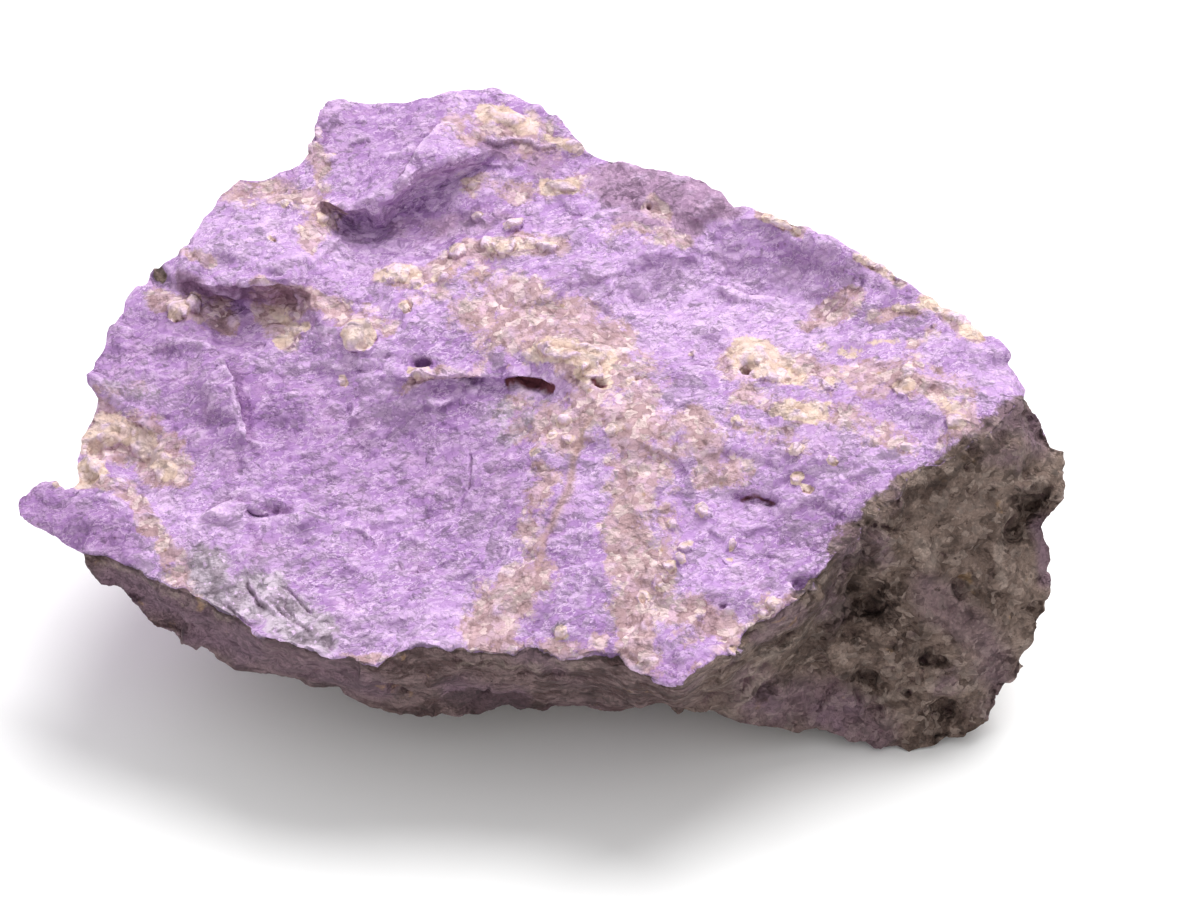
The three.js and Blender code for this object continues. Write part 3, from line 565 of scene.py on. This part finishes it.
class Skin:
    """The stone's fine skin: points in metres, and what the lists say about each of them."""

    def __init__(self, mesh):
        mesh.verts.ensure_lookup_table()
        self.points = np.array([vertex.co for vertex in mesh.verts])
        self.edges = np.array([[v.index for v in edge.verts] for edge in mesh.edges])
        self.triangles = np.array([[v.index for v in face.verts] for face in mesh.faces])
        bends = np.array([edge.calc_face_angle(0) for edge in mesh.edges])
        self.bend = np.zeros(len(self.points))
        np.maximum.at(self.bend, self.edges[:, 0], bends)
        np.maximum.at(self.bend, self.edges[:, 1], bends)
        self.degree = np.bincount(self.edges.ravel(), minlength=len(self.points))

    def spread(self, values, rounds):
        """Values averaged with their neighbours."""
        first, second = self.edges.T
        count = len(self.points)
        for _ in range(rounds):
            total = np.bincount(first, values[second], count) + np.bincount(second, values[first], count)
            values = (values + total / self.degree) / 2
        return values

    def smooth(self, rounds):
        """Rounds the solid's facets, less where an edge is sharp and not at all on the table."""
        free = 1 - (1 - EDGES_FREED) * smoothstep(*SHARP_ANGLES, self.bend)
        free[self.points[:, 2] < ON_TABLE] = 0
        for _ in range(rounds):
            mean = np.stack([self.spread(axis, 1) for axis in self.points.T], axis=1)
            self.points += free[:, None] * (mean - self.points)

    def normals(self):
        a, b, c = (self.points[self.triangles[:, k]] for k in range(3))
        faces = np.cross(b - a, c - a)
        summed = np.zeros_like(self.points)
        for k in range(3):
            np.add.at(summed, self.triangles[:, k], faces)
        around = np.stack([self.spread(axis, NORMAL_ROUNDS) for axis in summed.T], axis=1)
        return around / np.linalg.norm(around, axis=1)[:, None]

    def seen(self):
        """1 where the eye of the photograph sees the skin, 0 where it doesn't."""
        tree = BVHTree.FromPolygons(self.points.tolist(), self.triangles.tolist())
        eye = Vector(EYE)
        visible = np.zeros(len(self.points))
        for index, point in enumerate(self.points):
            sight = Vector(point) - eye
            distance = tree.ray_cast(eye, sight.normalized())[3]
            if distance is None or distance > sight.length - SIGHT_SLACK:
                visible[index] = 1
        return self.spread(visible, 2)


def tapered(share, taper):
    """1 along a line, and down to 0 at its two ends."""
    return smoothstep(0, taper, share) * smoothstep(1, 1 - taper, share)


def ledge_height(places, line, rise, reach):
    """Height in mm of a ledge at each place: a sharp step whose two sides come level further off."""
    distance, share = along_line(places, line)
    away = distance * PIXEL / MM
    fading = np.exp(-np.abs(away) / reach)
    upper = LEDGE_LIFT * fading
    lower = (LEDGE_LIFT - 1) * fading
    step = smoothstep(-STEP_WIDTH, STEP_WIDTH, away)
    return rise * tapered(share, LEDGE_TAPER) * (lower + (upper - lower) * step)


def crack_height(places, line, depth, half_width):
    distance, share = along_line(places, line)
    away = np.abs(distance) * PIXEL / MM / half_width
    return -depth * tapered(share, CRACK_TAPER) * smoothstep(1.5, 0.4, away)


def knob_height(places, frayed, across, down, half_width, half_height, tilt, rise):
    """A knob is highest at its lower edge in the picture, and breaks off steeply there."""
    reach = chip(places, across, down, half_width, half_height, tilt) + frayed
    lean = 1 + KNOB_LEAN * np.clip((places[:, 1] - down) / half_height, -1, 1)
    dome = 1 - KNOB_DOME * np.clip(reach, 0, 1)**2
    return KNOB_SHARE * rise * lean * dome * smoothstep(1.1, 0.9, reach)


def drawn_relief(places, points, seen):
    """Height in mm of the ledges, cracks, knobs and pits that the lists place in the photograph."""
    bend = np.stack([swell(points, 7, 2, 1), swell(points, 7, 2, 2)], axis=1)
    fray = np.stack([swell(points, 1.5, 2, 31), swell(points, 1.5, 2, 32)], axis=1)
    ragged = places + LEDGE_BEND * bend + LEDGE_FRAY * fray
    height = np.zeros(len(places))
    broken = np.clip(0.7 + 0.9 * swell(points, 4, 2, 33), 0, 1.4)
    for ledge in LEDGES:
        height += broken * ledge_height(ragged, *ledge)
    for crack in CRACKS:
        height += crack_height(ragged, *crack)
    frayed = 0.16 * swell(points, 3.1, 2, 3)
    for knob in KNOBS:
        height += knob_height(places + fray, frayed, *knob)
    for across, down, half_width, half_height, depth in PITS:
        reach = oval(ragged, across, down, half_width, half_height) + 1.5 * frayed
        height -= depth * smoothstep(1.2, 0.4, reach)
    vein = np.abs(along_line(places, VEIN)[0])
    height -= 0.2 * smoothstep(4, 1.5, vein)
    return height * seen


def facets(points, size, seed, stretch=(1, 1, 1)):
    """Height, in cells, of flat chips that are each tilted their own way, with short slopes between."""
    scaled = points / (MM * size * np.array(stretch)) + seed * CHIP_STEP
    heights = np.zeros(len(points))
    for index, place in enumerate(scaled):
        place = Vector(place)
        warped = place + CHIP_WARP * noise.noise_vector(place * CHIP_WARP_SCALE)
        distances, centres = noise.voronoi(warped)
        tilts = [noise.cell_vector(centre * CHIP_TILT_SCALE) - HALF for centre in centres[:2]]
        own, other = (tilt.dot(warped - centre) for tilt, centre in zip(tilts, centres))
        share = min((distances[1] - distances[0]) * size / CHIP_SLOPE, 1)
        heights[index] = own + (other - own) / 2 * (1 - share)
    return heights


def unseen_masks(skin, normals):
    """Tan, cream and crust where the photograph doesn't reach: the back and the underside."""
    points = skin.points
    drift = swell(points, 26, 3, 21)
    down = -normals[:, 2]
    right = points[:, 0] / (60 * MM)
    low = 1 - points[:, 2] / (25 * MM)
    crust = smoothstep(0.3, 0.6, 0.3 * drift + 0.5 * down + 0.4 * right + 0.45 * low)
    tan = smoothstep(0.1, 0.5, swell(points, 17, 3, 22)) * (1 - crust)
    cream = smoothstep(0.35, 0.7, swell(points, 8, 2, 23)) * tan
    even = (0.5 + 0.5 * smoothstep(0.1, 0.5, swell(points, 14, 2, 24))) * crust
    purple = smoothstep(0.1, 0.5, swell(points, 12, 2, 25)) * crust
    return {"tan": tan * 0.8, "cream": cream * 0.8, "crust": crust, "even": even, "purple": purple}


def stone_masks(skin, places, normals, seen):
    """Soft masks, 0 to 1, of each kind of stone and of the painted shade and light, which the material
    breaks up.
    """
    unseen = unseen_masks(skin, normals)
    places = places + 4 * np.stack([swell(skin.points, 4, 3, 11), swell(skin.points, 4, 3, 12)], axis=1)
    below = inside(places, BELOW_RIM)
    side = smoothstep(-2, 3, below)
    drawn = {name: brushed(places, strokes) * (1 - side) for name, strokes in FACE_STROKES.items()}
    for name, strokes in CRUST_ONLY_STROKES.items():
        drawn[name] = brushed(places, strokes) * side
    for name, strokes in OTHER_STROKES.items():
        drawn[name] = brushed(places, strokes)
    drawn["crust"] = np.maximum(brushed(places, CRUST_STROKES) * (1 - side), side)
    drawn["front"] = side * smoothstep(FRONT_END + FRONT_BLEND, FRONT_END - FRONT_BLEND, places[:, 0])
    for across, down, half_width, half_height, tilt, _ in KNOBS:
        knob = smoothstep(1.2, 0.9, chip(places, across, down, half_width, half_height, tilt))
        drawn["cream"] = np.maximum(drawn["cream"], knob)
    drawn["vein"] = smoothstep(7, 2, np.abs(along_line(places, VEIN)[0]))
    empty = np.zeros(len(places))
    return {name: seen * mask + (1 - seen) * unseen.get(name, empty) for name, mask in drawn.items()}


def lilac_grain(points):
    """Flat flakes, long across the picture, that overlap in low steps."""
    chips = facets(points, 9, 1, ALONG_BREAK)
    flakes = facets(points, 3.6, 2, ALONG_BREAK)
    return 1.9 * chips + 1.1 * flakes + 0.06 * swell(points, 1.6, 3, 6)


def rubble_grain(points):
    """The tan and cream stone: crumbs in a sugary ground."""
    return 1.6 * facets(points, 3, 3) + 0.1 * swell(points, 1.2, 2, 7) + 0.2 * swell(points, 4, 2, 8)


def crust_grain(points, even):
    """The crust: broad worn facets, with clusters of pits and small sharp chips where it isn't even."""
    broad = 2.4 * facets(points, 11, 4) + 1.2 * facets(points, 5, 16)
    clusters = (0.3 + smoothstep(-0.2, 0.3, swell(points, 9, 2, 10))) * (1 - 0.8 * even)
    pits = smoothstep(0.25, 0.5, swell(points, 2.4, 2, 14))
    sharp = 1.2 * facets(points, 2.8, 5) - 0.4 * pits
    return broad + 0.08 * swell(points, 2.4, 3, 15) + clusters * sharp


def grain_relief(skin, masks):
    """Height in mm of the broken grain, which differs with the kind of stone."""
    points = skin.points
    rough = np.clip(0.6 * masks["tan"] + masks["cream"], 0, 1)
    height = lilac_grain(points) * (1 - rough) + rubble_grain(points) * rough
    crust = masks["crust"]
    return height * (1 - crust) + crust_grain(points, masks["even"]) * crust


def make_object(name, skin, masks):
    mesh = bpy.data.meshes.new(name)
    mesh.from_pydata(skin.points.tolist(), [], skin.triangles.tolist())
    for mask_name, mask in masks.items():
        attribute = mesh.attributes.new(mask_name, "FLOAT", "POINT")
        attribute.data.foreach_set("value", np.clip(mask, 0, 1).astype(np.float32))
    mesh.shade_smooth()
    mesh.set_sharp_from_angle(angle=CRISP_ANGLE)
    mesh.update()
    made = bpy.data.objects.new(name, mesh)
    bpy.context.scene.collection.objects.link(made)
    return made


def survey(skin):
    """The masks and the relief's height, in mm, at each point of the skin."""
    seen = skin.seen()
    places = in_picture(skin.points)
    masks = stone_masks(skin, places, skin.normals(), seen)
    height = drawn_relief(places, skin.points, seen) + skin.spread(grain_relief(skin, masks), 1)
    return masks, height * smoothstep(0, ABOVE_TABLE, skin.points[:, 2])


def busiest_faces(mesh, skin, height, count):
    """The faces over which the relief changes most."""
    corners = height[skin.triangles]
    order = np.argsort(corners.min(axis=1) - corners.max(axis=1), kind="stable")
    mesh.faces.ensure_lookup_table()
    return [mesh.faces[index] for index in order[:count]]


def make_skin():
    mesh = solid_copy("rough_stone")
    halve_edges(mesh, list(mesh.faces))
    halve_edges(mesh, facing_eye(mesh))
    skin = Skin(mesh)
    skin.smooth(SMOOTH_ROUNDS)
    for vertex, point in zip(mesh.verts, skin.points):
        vertex.co = point
    _, height = survey(skin)
    spare = (MOST_TRIANGLES - len(mesh.faces)) // TRIANGLES_ADDED
    halve_edges(mesh, busiest_faces(mesh, skin, height, spare))
    skin = Skin(mesh)
    masks, height = survey(skin)
    skin.points += skin.normals() * height[:, None] * MM
    skin.points[:, 2] = np.maximum(skin.points[:, 2], 0)
    around = skin.spread(height, 6)
    # raised places, which the material lightens: pale scuffs and a painted highlight
    masks["edge"] = smoothstep(0.02, 0.2, height - around)
    # painted shade where the skin lies lower than the places round it
    masks["hollow"] = smoothstep(0.04, 0.35, around - height)
    print("skin:", len(skin.points), "points,", len(skin.triangles), "triangles")
    return make_object("stone_skin", skin, masks)


# The stone's colours, as seen in the photograph, with the colours of its painted shade and highlights
COLOURS = {
    "lilac": (187, 149, 202),
    # deep lilac, and the colour of the painted shade at the foot of each flake's step
    "dark_lilac_and_shade": (161, 122, 177),
    "lilac_shade": (188, 166, 190),
    # painted shade in cracks and under lips
    "crack_shade": (118, 64, 72),
    # pale lilac, and the colour of painted highlights on flake edges and raised edges
    "pale_lilac_and_highlight": (226, 196, 232),
    "pink": (208, 172, 200),
    "dusky": (158, 125, 152),
    "tan": (202, 169, 175),
    "tan_dark": (162, 130, 134),
    "tan_light": (238, 214, 212),
    "cream": (230, 205, 190),
    "cream_dark": (192, 163, 148),
    "ochre": (176, 140, 100),
    "crust": (138, 118, 108),
    "crust_dark": (96, 78, 70),
    # pale crust grains, and the colour of painted highlights on its ridges
    "pale_crust_and_highlight": (172, 154, 144),
    "crust_purple": (136, 108, 126),
    "front": (136, 112, 114),
    "front_dark": (80, 56, 60),
    "grey": (198, 182, 198),
    "grey_dark": (150, 134, 148),
    # painted shade: dark dots for fine pits that have no hole under them
    "hollow": (116, 80, 104),
    # painted shade in pits, creases and hollows
    "pit_shade": (56, 38, 32),
    "shade": (176, 142, 170),
    "vein": (188, 156, 150),
}
FINEST = 0.1  # mm, the finest wave of the material's noises
PATTERN_LEAN = 19  # degrees that the material's pattern leans with the broad face
CHIP_SHIFT = 0.9  # how crooked the material's chips are, in their own sizes
RELIEF_UNIT = 0.3 * MM  # of the material's bump
CHIP_HEIGHTS = (6.5, 5.5, 2.8)  # of the broad, middling and fine chips, in those units


def colour(name):
    """A colour of the list, made linear, with alpha."""
    shares = [channel / 255 for channel in COLOURS[name]]
    linear = [s / 12.92 if s <= 0.04045 else ((s + 0.055) / 1.055) ** 2.4 for s in shares]
    return linear + [1]


class Nodes:
    """Short ways of making the nodes of one material."""

    def __init__(self, material):
        material.use_nodes = True
        self.tree = material.node_tree
        self.tree.nodes.clear()
        self.position = self.new("ShaderNodeTexCoord").outputs["Object"]

    def new(self, kind, **settings):
        node = self.tree.nodes.new(kind)
        for name, value in settings.items():
            setattr(node, name, value)
        return node

    def put(self, socket, value):
        if isinstance(value, bpy.types.NodeSocket):
            self.tree.links.new(value, socket)
        else:
            socket.default_value = value

    def mask(self, name):
        return self.new("ShaderNodeAttribute", attribute_name=name).outputs["Fac"]

    def math(self, operation, first, second=0.0):
        node = self.new("ShaderNodeMath", operation=operation)
        self.put(node.inputs[0], first)
        self.put(node.inputs[1], second)
        return node.outputs[0]

    def placed(self, stretch, turn, offset=0.0):
        """The position, stretched and turned in a plane that leans with the broad face."""
        node = self.new("ShaderNodeMapping", vector_type="TEXTURE")
        self.put(node.inputs["Vector"], self.position)
        node.inputs["Location"].default_value = (offset, offset, offset)
        node.inputs["Rotation"].default_value = (math.radians(PATTERN_LEAN), 0, math.radians(turn))
        node.inputs["Scale"].default_value = stretch
        return node.outputs["Vector"]

    def noise(self, size, detail=3.0, roughness=0.55, vector=None, distortion=0.0):
        """Noise, 0 to 1, with a wavelength of size mm."""
        node = self.new("ShaderNodeTexNoise")
        self.put(node.inputs["Vector"], vector or self.position)
        node.inputs["Scale"].default_value = 1 / (size * MM)
        node.inputs["Detail"].default_value = min(detail, int(math.log2(size / FINEST)))
        node.inputs["Roughness"].default_value = roughness
        node.inputs["Distortion"].default_value = distortion
        return node.outputs["Fac"]

    def cells(self, size):
        node = self.new("ShaderNodeTexVoronoi", feature="F1")
        self.put(node.inputs["Vector"], self.position)
        node.inputs["Scale"].default_value = 1 / (size * MM)
        return node.outputs["Distance"]

    def ramp(self, value, low, high):
        """0 below low, 1 above high, smooth between; low may be the larger."""
        node = self.new("ShaderNodeMapRange", interpolation_type="SMOOTHSTEP")
        self.put(node.inputs["Value"], value)
        is_rising = low < high
        node.inputs["From Min"].default_value = min(low, high)
        node.inputs["From Max"].default_value = max(low, high)
        node.inputs["To Min"].default_value = 0 if is_rising else 1
        node.inputs["To Max"].default_value = 1 if is_rising else 0
        return node.outputs["Result"]

    def tint(self, made, share, strength, other, blend_type="MIX"):
        """Lays another colour over what is made, as far as a share says."""
        return self.mix(self.math("MULTIPLY", share, strength), made, other, blend_type)

    def mix(self, share, first, second, blend_type="MIX"):
        node = self.new("ShaderNodeMix", data_type="RGBA", blend_type=blend_type)
        self.put(node.inputs["Factor"], share)
        self.put(node.inputs["A"], colour(first) if isinstance(first, str) else first)
        self.put(node.inputs["B"], colour(second) if isinstance(second, str) else second)
        return node.outputs["Result"]

    def broken(self, name, noise_value, roughness, width):
        """A painted mask whose edge is broken up by noise."""
        painted = self.mask(name)
        ragged = self.math("MULTIPLY", self.math("SUBTRACT", noise_value, 0.5), roughness)
        total = self.math("ADD", painted, self.math("MULTIPLY", ragged, self.ramp(painted, 0, 0.2)))
        return self.ramp(total, 0.5 - width, 0.5 + width)

    def chips(self, size, stretch, turn, offset=0.0):
        """Crooked flat chips of size mm: their height, in cells, each tilted its own way, and a
        random shade of each, 0 to 1."""
        shift = self.new("ShaderNodeTexNoise")
        shift.inputs["Detail"].default_value = 0
        self.put(shift.inputs["Vector"], self.position)
        shift.inputs["Scale"].default_value = 1 / (size * MM)
        warped = self.new("ShaderNodeVectorMath", operation="MULTIPLY_ADD")
        self.put(warped.inputs[0], shift.outputs["Color"])
        warped.inputs[1].default_value = [CHIP_SHIFT * size * MM] * 3
        self.put(warped.inputs[2], self.placed(stretch, turn, offset))
        place = self.new("ShaderNodeVectorMath", operation="SCALE")
        self.put(place.inputs[0], warped.outputs[0])
        place.inputs["Scale"].default_value = 1 / (size * MM)
        chips = self.new("ShaderNodeTexVoronoi", feature="F1")
        self.put(chips.inputs["Vector"], place.outputs[0])
        chips.inputs["Scale"].default_value = 1
        from_centre = self.new("ShaderNodeVectorMath", operation="SUBTRACT")
        self.put(from_centre.inputs[0], place.outputs[0])
        self.put(from_centre.inputs[1], chips.outputs["Position"])
        tilt = self.new("ShaderNodeVectorMath", operation="SUBTRACT")
        self.put(tilt.inputs[0], chips.outputs["Color"])
        tilt.inputs[1].default_value = HALF
        height = self.new("ShaderNodeVectorMath", operation="DOT_PRODUCT")
        self.put(height.inputs[0], from_centre.outputs[0])
        self.put(height.inputs[1], tilt.outputs[0])
        return height.outputs["Value"], chips.outputs["Color"]

    def shaded(self, made, shades, light, dark, strength):
        """Lightens some chips and darkens others, by their random shades."""
        for shade in shades:
            made = self.tint(made, self.ramp(shade, 0.55, 0.8), strength, light)
            made = self.tint(made, self.ramp(shade, 0.45, 0.2), strength, dark)
        return made


def flaked(n, size, steps, stretch, turn):
    """Broken flakes that follow the contours of a noise: the share across each tread, and its height."""
    level = n.math("MULTIPLY", n.noise(size, 6, 0.6, n.placed(stretch, turn)), steps)
    tread = n.math("FRACT", level)
    return tread, n.math("SUBTRACT", level, n.math("MULTIPLY", tread, 0.8))


def flake_edges(n, made, tread, strength):
    """Paints a highlight along each flake's upper edge and painted shade at the foot of the step below
    it.
    """
    made = n.tint(made, n.ramp(tread, 0.86, 0.97), strength, "pale_lilac_and_highlight")
    return n.tint(made, n.ramp(tread, 0.12, 0.0), strength, "dark_lilac_and_shade")


def lilac_colour(n, treads, shades):
    """The purple body: cloudy, flaked along the break, with pale scuffs, pale places partly of painted
    light, painted highlights and shade at each flake's step, and fine pits painted dark as shade.
    """
    made = n.mix(n.ramp(n.noise(18, 4), 0.4, 0.64), "lilac", "dark_lilac_and_shade")
    made = n.tint(made, n.ramp(n.noise(5, 4), 0.52, 0.68), 0.4, "pink")
    # pale places, partly painted light on slopes that face the light
    made = n.tint(made, n.mask("pale_and_lit"), 0.6, "pale_lilac_and_highlight")
    streaks = n.noise(1.1, 4, 0.65, n.placed((2, 1, 1), 18), 0.4)
    made = n.tint(made, n.ramp(streaks, 0.52, 0.62), 0.6, "pale_lilac_and_highlight")
    made = n.tint(made, n.ramp(streaks, 0.47, 0.37), 0.6, "dark_lilac_and_shade")
    made = n.shaded(made, shades, "pale_lilac_and_highlight", "dark_lilac_and_shade", 0.4)
    for tread in treads:
        made = flake_edges(n, made, tread, 0.7)
    # fine dark pits: dots of painted shade, with no hole under them
    made = n.tint(made, n.ramp(n.cells(2.6), 0.1, 0.05), 0.5, "hollow")
    dusky = n.math("MULTIPLY", n.broken("dusky", n.noise(2.4, 5, 0.65), 1.2, 0.25), 0.85)
    return n.mix(dusky, made, n.mix(n.ramp(n.noise(0.8, 4, 0.7), 0.48, 0.75), "dusky", "pink"))


def tan_colour(n, shades):
    """The pinkish matrix: sugary, with darker and lighter grains and ochre specks."""
    made = n.mix(n.ramp(n.noise(1.5, 6, 0.75), 0.36, 0.56), "tan_dark", "tan")
    made = n.tint(made, n.ramp(n.noise(3, 5, 0.6), 0.48, 0.58), 0.5, "pink")
    made = n.shaded(made, shades, "tan_light", "tan_dark", 0.7)
    return n.tint(made, n.ramp(n.cells(3.1), 0.14, 0.06), 0.6, "ochre")


def cream_colour(n, shades):
    made = n.mix(n.ramp(n.noise(1.6, 6, 0.7), 0.34, 0.52), "cream_dark", "cream")
    made = n.shaded(made, shades, "tan_light", "cream_dark", 0.5)
    return n.tint(made, n.ramp(n.noise(3.1, 4, 0.6), 0.62, 0.72), 0.3, "ochre")


def crust_colour(n, shades):
    """Brown and matte, with purple places and pale grains, dark pits painted as shade, painted
    highlights along its ridges, and painted shade in its creases, pits and hollows.
    """
    made = n.mix(n.ramp(n.noise(4.5, 7, 0.75), 0.36, 0.62), "crust_dark", "crust")
    made = n.tint(made, n.ramp(n.noise(11, 4), 0.52, 0.66), 0.5, "crust_purple")
    made = n.shaded(made, shades, "pale_crust_and_highlight", "crust_dark", 0.4)
    streaks = n.noise(2.4, 6, 0.72, n.placed((2.4, 1, 1), 0))
    front = n.mix(n.ramp(streaks, 0.42, 0.58), "front_dark", "front")
    made = n.tint(made, n.mask("front"), 0.8, front)
    made = n.tint(made, n.mask("purple"), 0.7, "crust_purple")
    made = n.tint(made, n.ramp(n.noise(4.2, 4), 0.64, 0.72), 0.5, "ochre")
    # dark dots of painted shade, standing in for pits
    pits = n.math("MULTIPLY", n.ramp(n.noise(1.3, 4, 0.6), 0.38, 0.33), 0.7)
    made = n.mix(n.math("MULTIPLY", pits, n.math("SUBTRACT", 1.0, n.mask("even"))), made, "pit_shade")
    # painted highlights along the crust's ridges
    made = n.tint(made, n.broken("light", n.noise(1.4, 5, 0.7), 1.6, 0.3), 0.5, "pale_crust_and_highlight")
    # painted shade in the creases, pits and hollows that the strokes mark
    return n.tint(made, n.broken("dark", n.noise(1.5, 6, 0.7), 1.6, 0.2), 0.6, "pit_shade")


def grey_colour(n):
    made = n.mix(n.ramp(n.noise(2.2, 5, 0.65), 0.4, 0.6), "grey_dark", "grey")
    return n.mix(n.ramp(n.noise(0.8, 4), 0.56, 0.68), made, "pale_lilac_and_highlight")


def stone_relief(n, levels, chips):
    """The finest relief, in units of RELIEF_UNIT: chips, treads and grain, coarser on the crust."""
    total = n.math("ADD", levels[0], n.math("MULTIPLY", levels[1], 0.5))
    for height, share in zip(chips, CHIP_HEIGHTS):
        total = n.math("ADD", total, n.math("MULTIPLY", height, share))
    grain = n.math("ADD", n.noise(0.6, 3, 0.6), n.math("MULTIPLY", n.noise(1.8, 4, 0.6), 1.8))
    total = n.math("ADD", total, grain)
    return n.math("MULTIPLY", total, n.math("ADD", n.math("MULTIPLY", n.mask("crust"), 1.3), 1.0))


def stone_colour(n, treads, shades):
    """Each kind of stone over the lilac, with painted shade in its cracks, then the veins, the painted
    shade in hollows and on shaded slopes, and the scuffed edges with a painted highlight.
    """
    fine = shades[-1:]
    made = lilac_colour(n, treads, shades)
    made = n.mix(n.broken("tan", n.noise(3.4, 8, 0.75), 2.8, 0.2), made, tan_colour(n, fine))
    made = n.mix(n.broken("grey", n.noise(2.4, 6, 0.72), 2.0, 0.25), made, grey_colour(n))
    made = n.mix(n.broken("cream", n.noise(1.6, 6, 0.7), 1.4, 0.12), made, cream_colour(n, shades))
    made = n.mix(n.broken("crust", n.noise(1.6, 5, 0.65), 0.8, 0.1), made, crust_colour(n, fine))
    # painted shade, dark red, in the cracks and under lips
    made = n.mix(n.broken("crack_shade", n.noise(1.2, 4), 0.6, 0.25), made, "crack_shade")
    vein = n.math("MULTIPLY", n.mask("vein"), n.ramp(n.noise(2, 4), 0.28, 0.42))
    made = n.tint(made, vein, 0.8, "vein")
    # painted shade in the hollows of the skin
    made = n.tint(made, n.mask("hollow"), 0.8, "shade", "MULTIPLY")
    # painted shade on the shaded slopes, risers, folds and recesses that the strokes mark
    made = n.tint(made, n.mask("painted_shade"), 0.9, "lilac_shade", "MULTIPLY")
    # raised edges lightened: pale scuffs and a painted highlight
    scuffed_and_lit = n.math("MULTIPLY", n.mask("edge"), n.math("SUBTRACT", 1.0, n.mask("crust")))
    return n.tint(made, scuffed_and_lit, 0.65, "pale_lilac_and_highlight")


def stone_material():
    material = bpy.data.materials.new("phosphosiderite")
    n = Nodes(material)
    wide_tread, wide_level = flaked(n, 9, 9, (2.2, 1, 1), 20)
    fine_tread, fine_level = flaked(n, 3.5, 7, (2.2, 1, 1), 28)
    broad, _ = n.chips(5, (1.6, 1, 1), 22)
    middling, middling_shade = n.chips(2.2, (1.5, 1, 1), 18)
    fine, fine_shade = n.chips(0.9, (1.2, 1, 1), 18, 0.01)
    made = stone_colour(n, [wide_tread, fine_tread], [middling_shade, fine_shade])

    bump = n.new("ShaderNodeBump")
    bump.inputs["Strength"].default_value = 1.0
    bump.inputs["Distance"].default_value = RELIEF_UNIT
    n.put(bump.inputs["Height"], stone_relief(n, [wide_level, fine_level], [broad, middling, fine]))

    shader = n.new("ShaderNodeBsdfPrincipled")
    n.put(shader.inputs["Base Color"], made)
    n.put(shader.inputs["Normal"], bump.outputs["Normal"])
    shader.inputs["Roughness"].default_value = 0.78
    shader.inputs["Specular IOR Level"].default_value = 0.3
    output = n.new("ShaderNodeOutputMaterial")
    n.put(output.inputs["Surface"], shader.outputs["BSDF"])
    return material


def plain_material(name, value, roughness):
    material = bpy.data.materials.new(name)
    material.use_nodes = True
    shader = material.node_tree.nodes["Principled BSDF"]
    shader.inputs["Base Color"].default_value = (value, value, value, 1)
    shader.inputs["Roughness"].default_value = roughness
    return material


def make_floor():
    far = FLOOR_HALF
    mesh = bpy.data.meshes.new("floor")
    corners = [(-far, -far, 0), (far, -far, 0), (far, far, 0), (-far, far, 0)]
    mesh.from_pydata(corners, [], [(0, 1, 2, 3)])
    floor = bpy.data.objects.new("floor", mesh)
    bpy.context.scene.collection.objects.link(floor)
    floor.data.materials.append(plain_material("pale_floor", FLOOR_GREY, FLOOR_ROUGHNESS))


def light_stage():
    """Soft light from above and a little behind, as in the photograph, and from all round."""
    light = bpy.data.lights.new("key", "AREA")
    light.shape = "DISK"
    light.size = KEY_SIZE
    light.energy = KEY_WATTS
    key = bpy.data.objects.new("key", light)
    key.location = KEY_PLACE
    key.rotation_euler = (KEY_AIM - KEY_PLACE).to_track_quat("-Z", "Y").to_euler()
    bpy.context.scene.collection.objects.link(key)
    world = bpy.data.worlds.new("studio")
    world.use_nodes = True
    world.node_tree.nodes["Background"].inputs["Color"].default_value = (1, 1, 1, 1)
    world.node_tree.nodes["Background"].inputs["Strength"].default_value = SKY_STRENGTH
    bpy.context.scene.world = world


def make_camera():
    data = bpy.data.cameras.new("camera")
    data.sensor_width = SENSOR_WIDTH
    data.lens = SENSOR_WIDTH * EYE_DISTANCE / (PICTURE_WIDTH * PIXEL)
    camera = bpy.data.objects.new("camera", data)
    axes = Matrix((RIGHT, UP, -FORWARD)).transposed()
    camera.matrix_world = Matrix.Translation(EYE) @ axes.to_4x4()
    bpy.context.scene.collection.objects.link(camera)
    bpy.context.scene.camera = camera


make_camera()
light_stage()
make_floor()

stone_skin = make_skin()
stone_skin.data.materials.append(stone_material())
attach(stone_skin, "root")
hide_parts("rough_stone")

bpy.context.scene.view_settings.view_transform = "Standard"
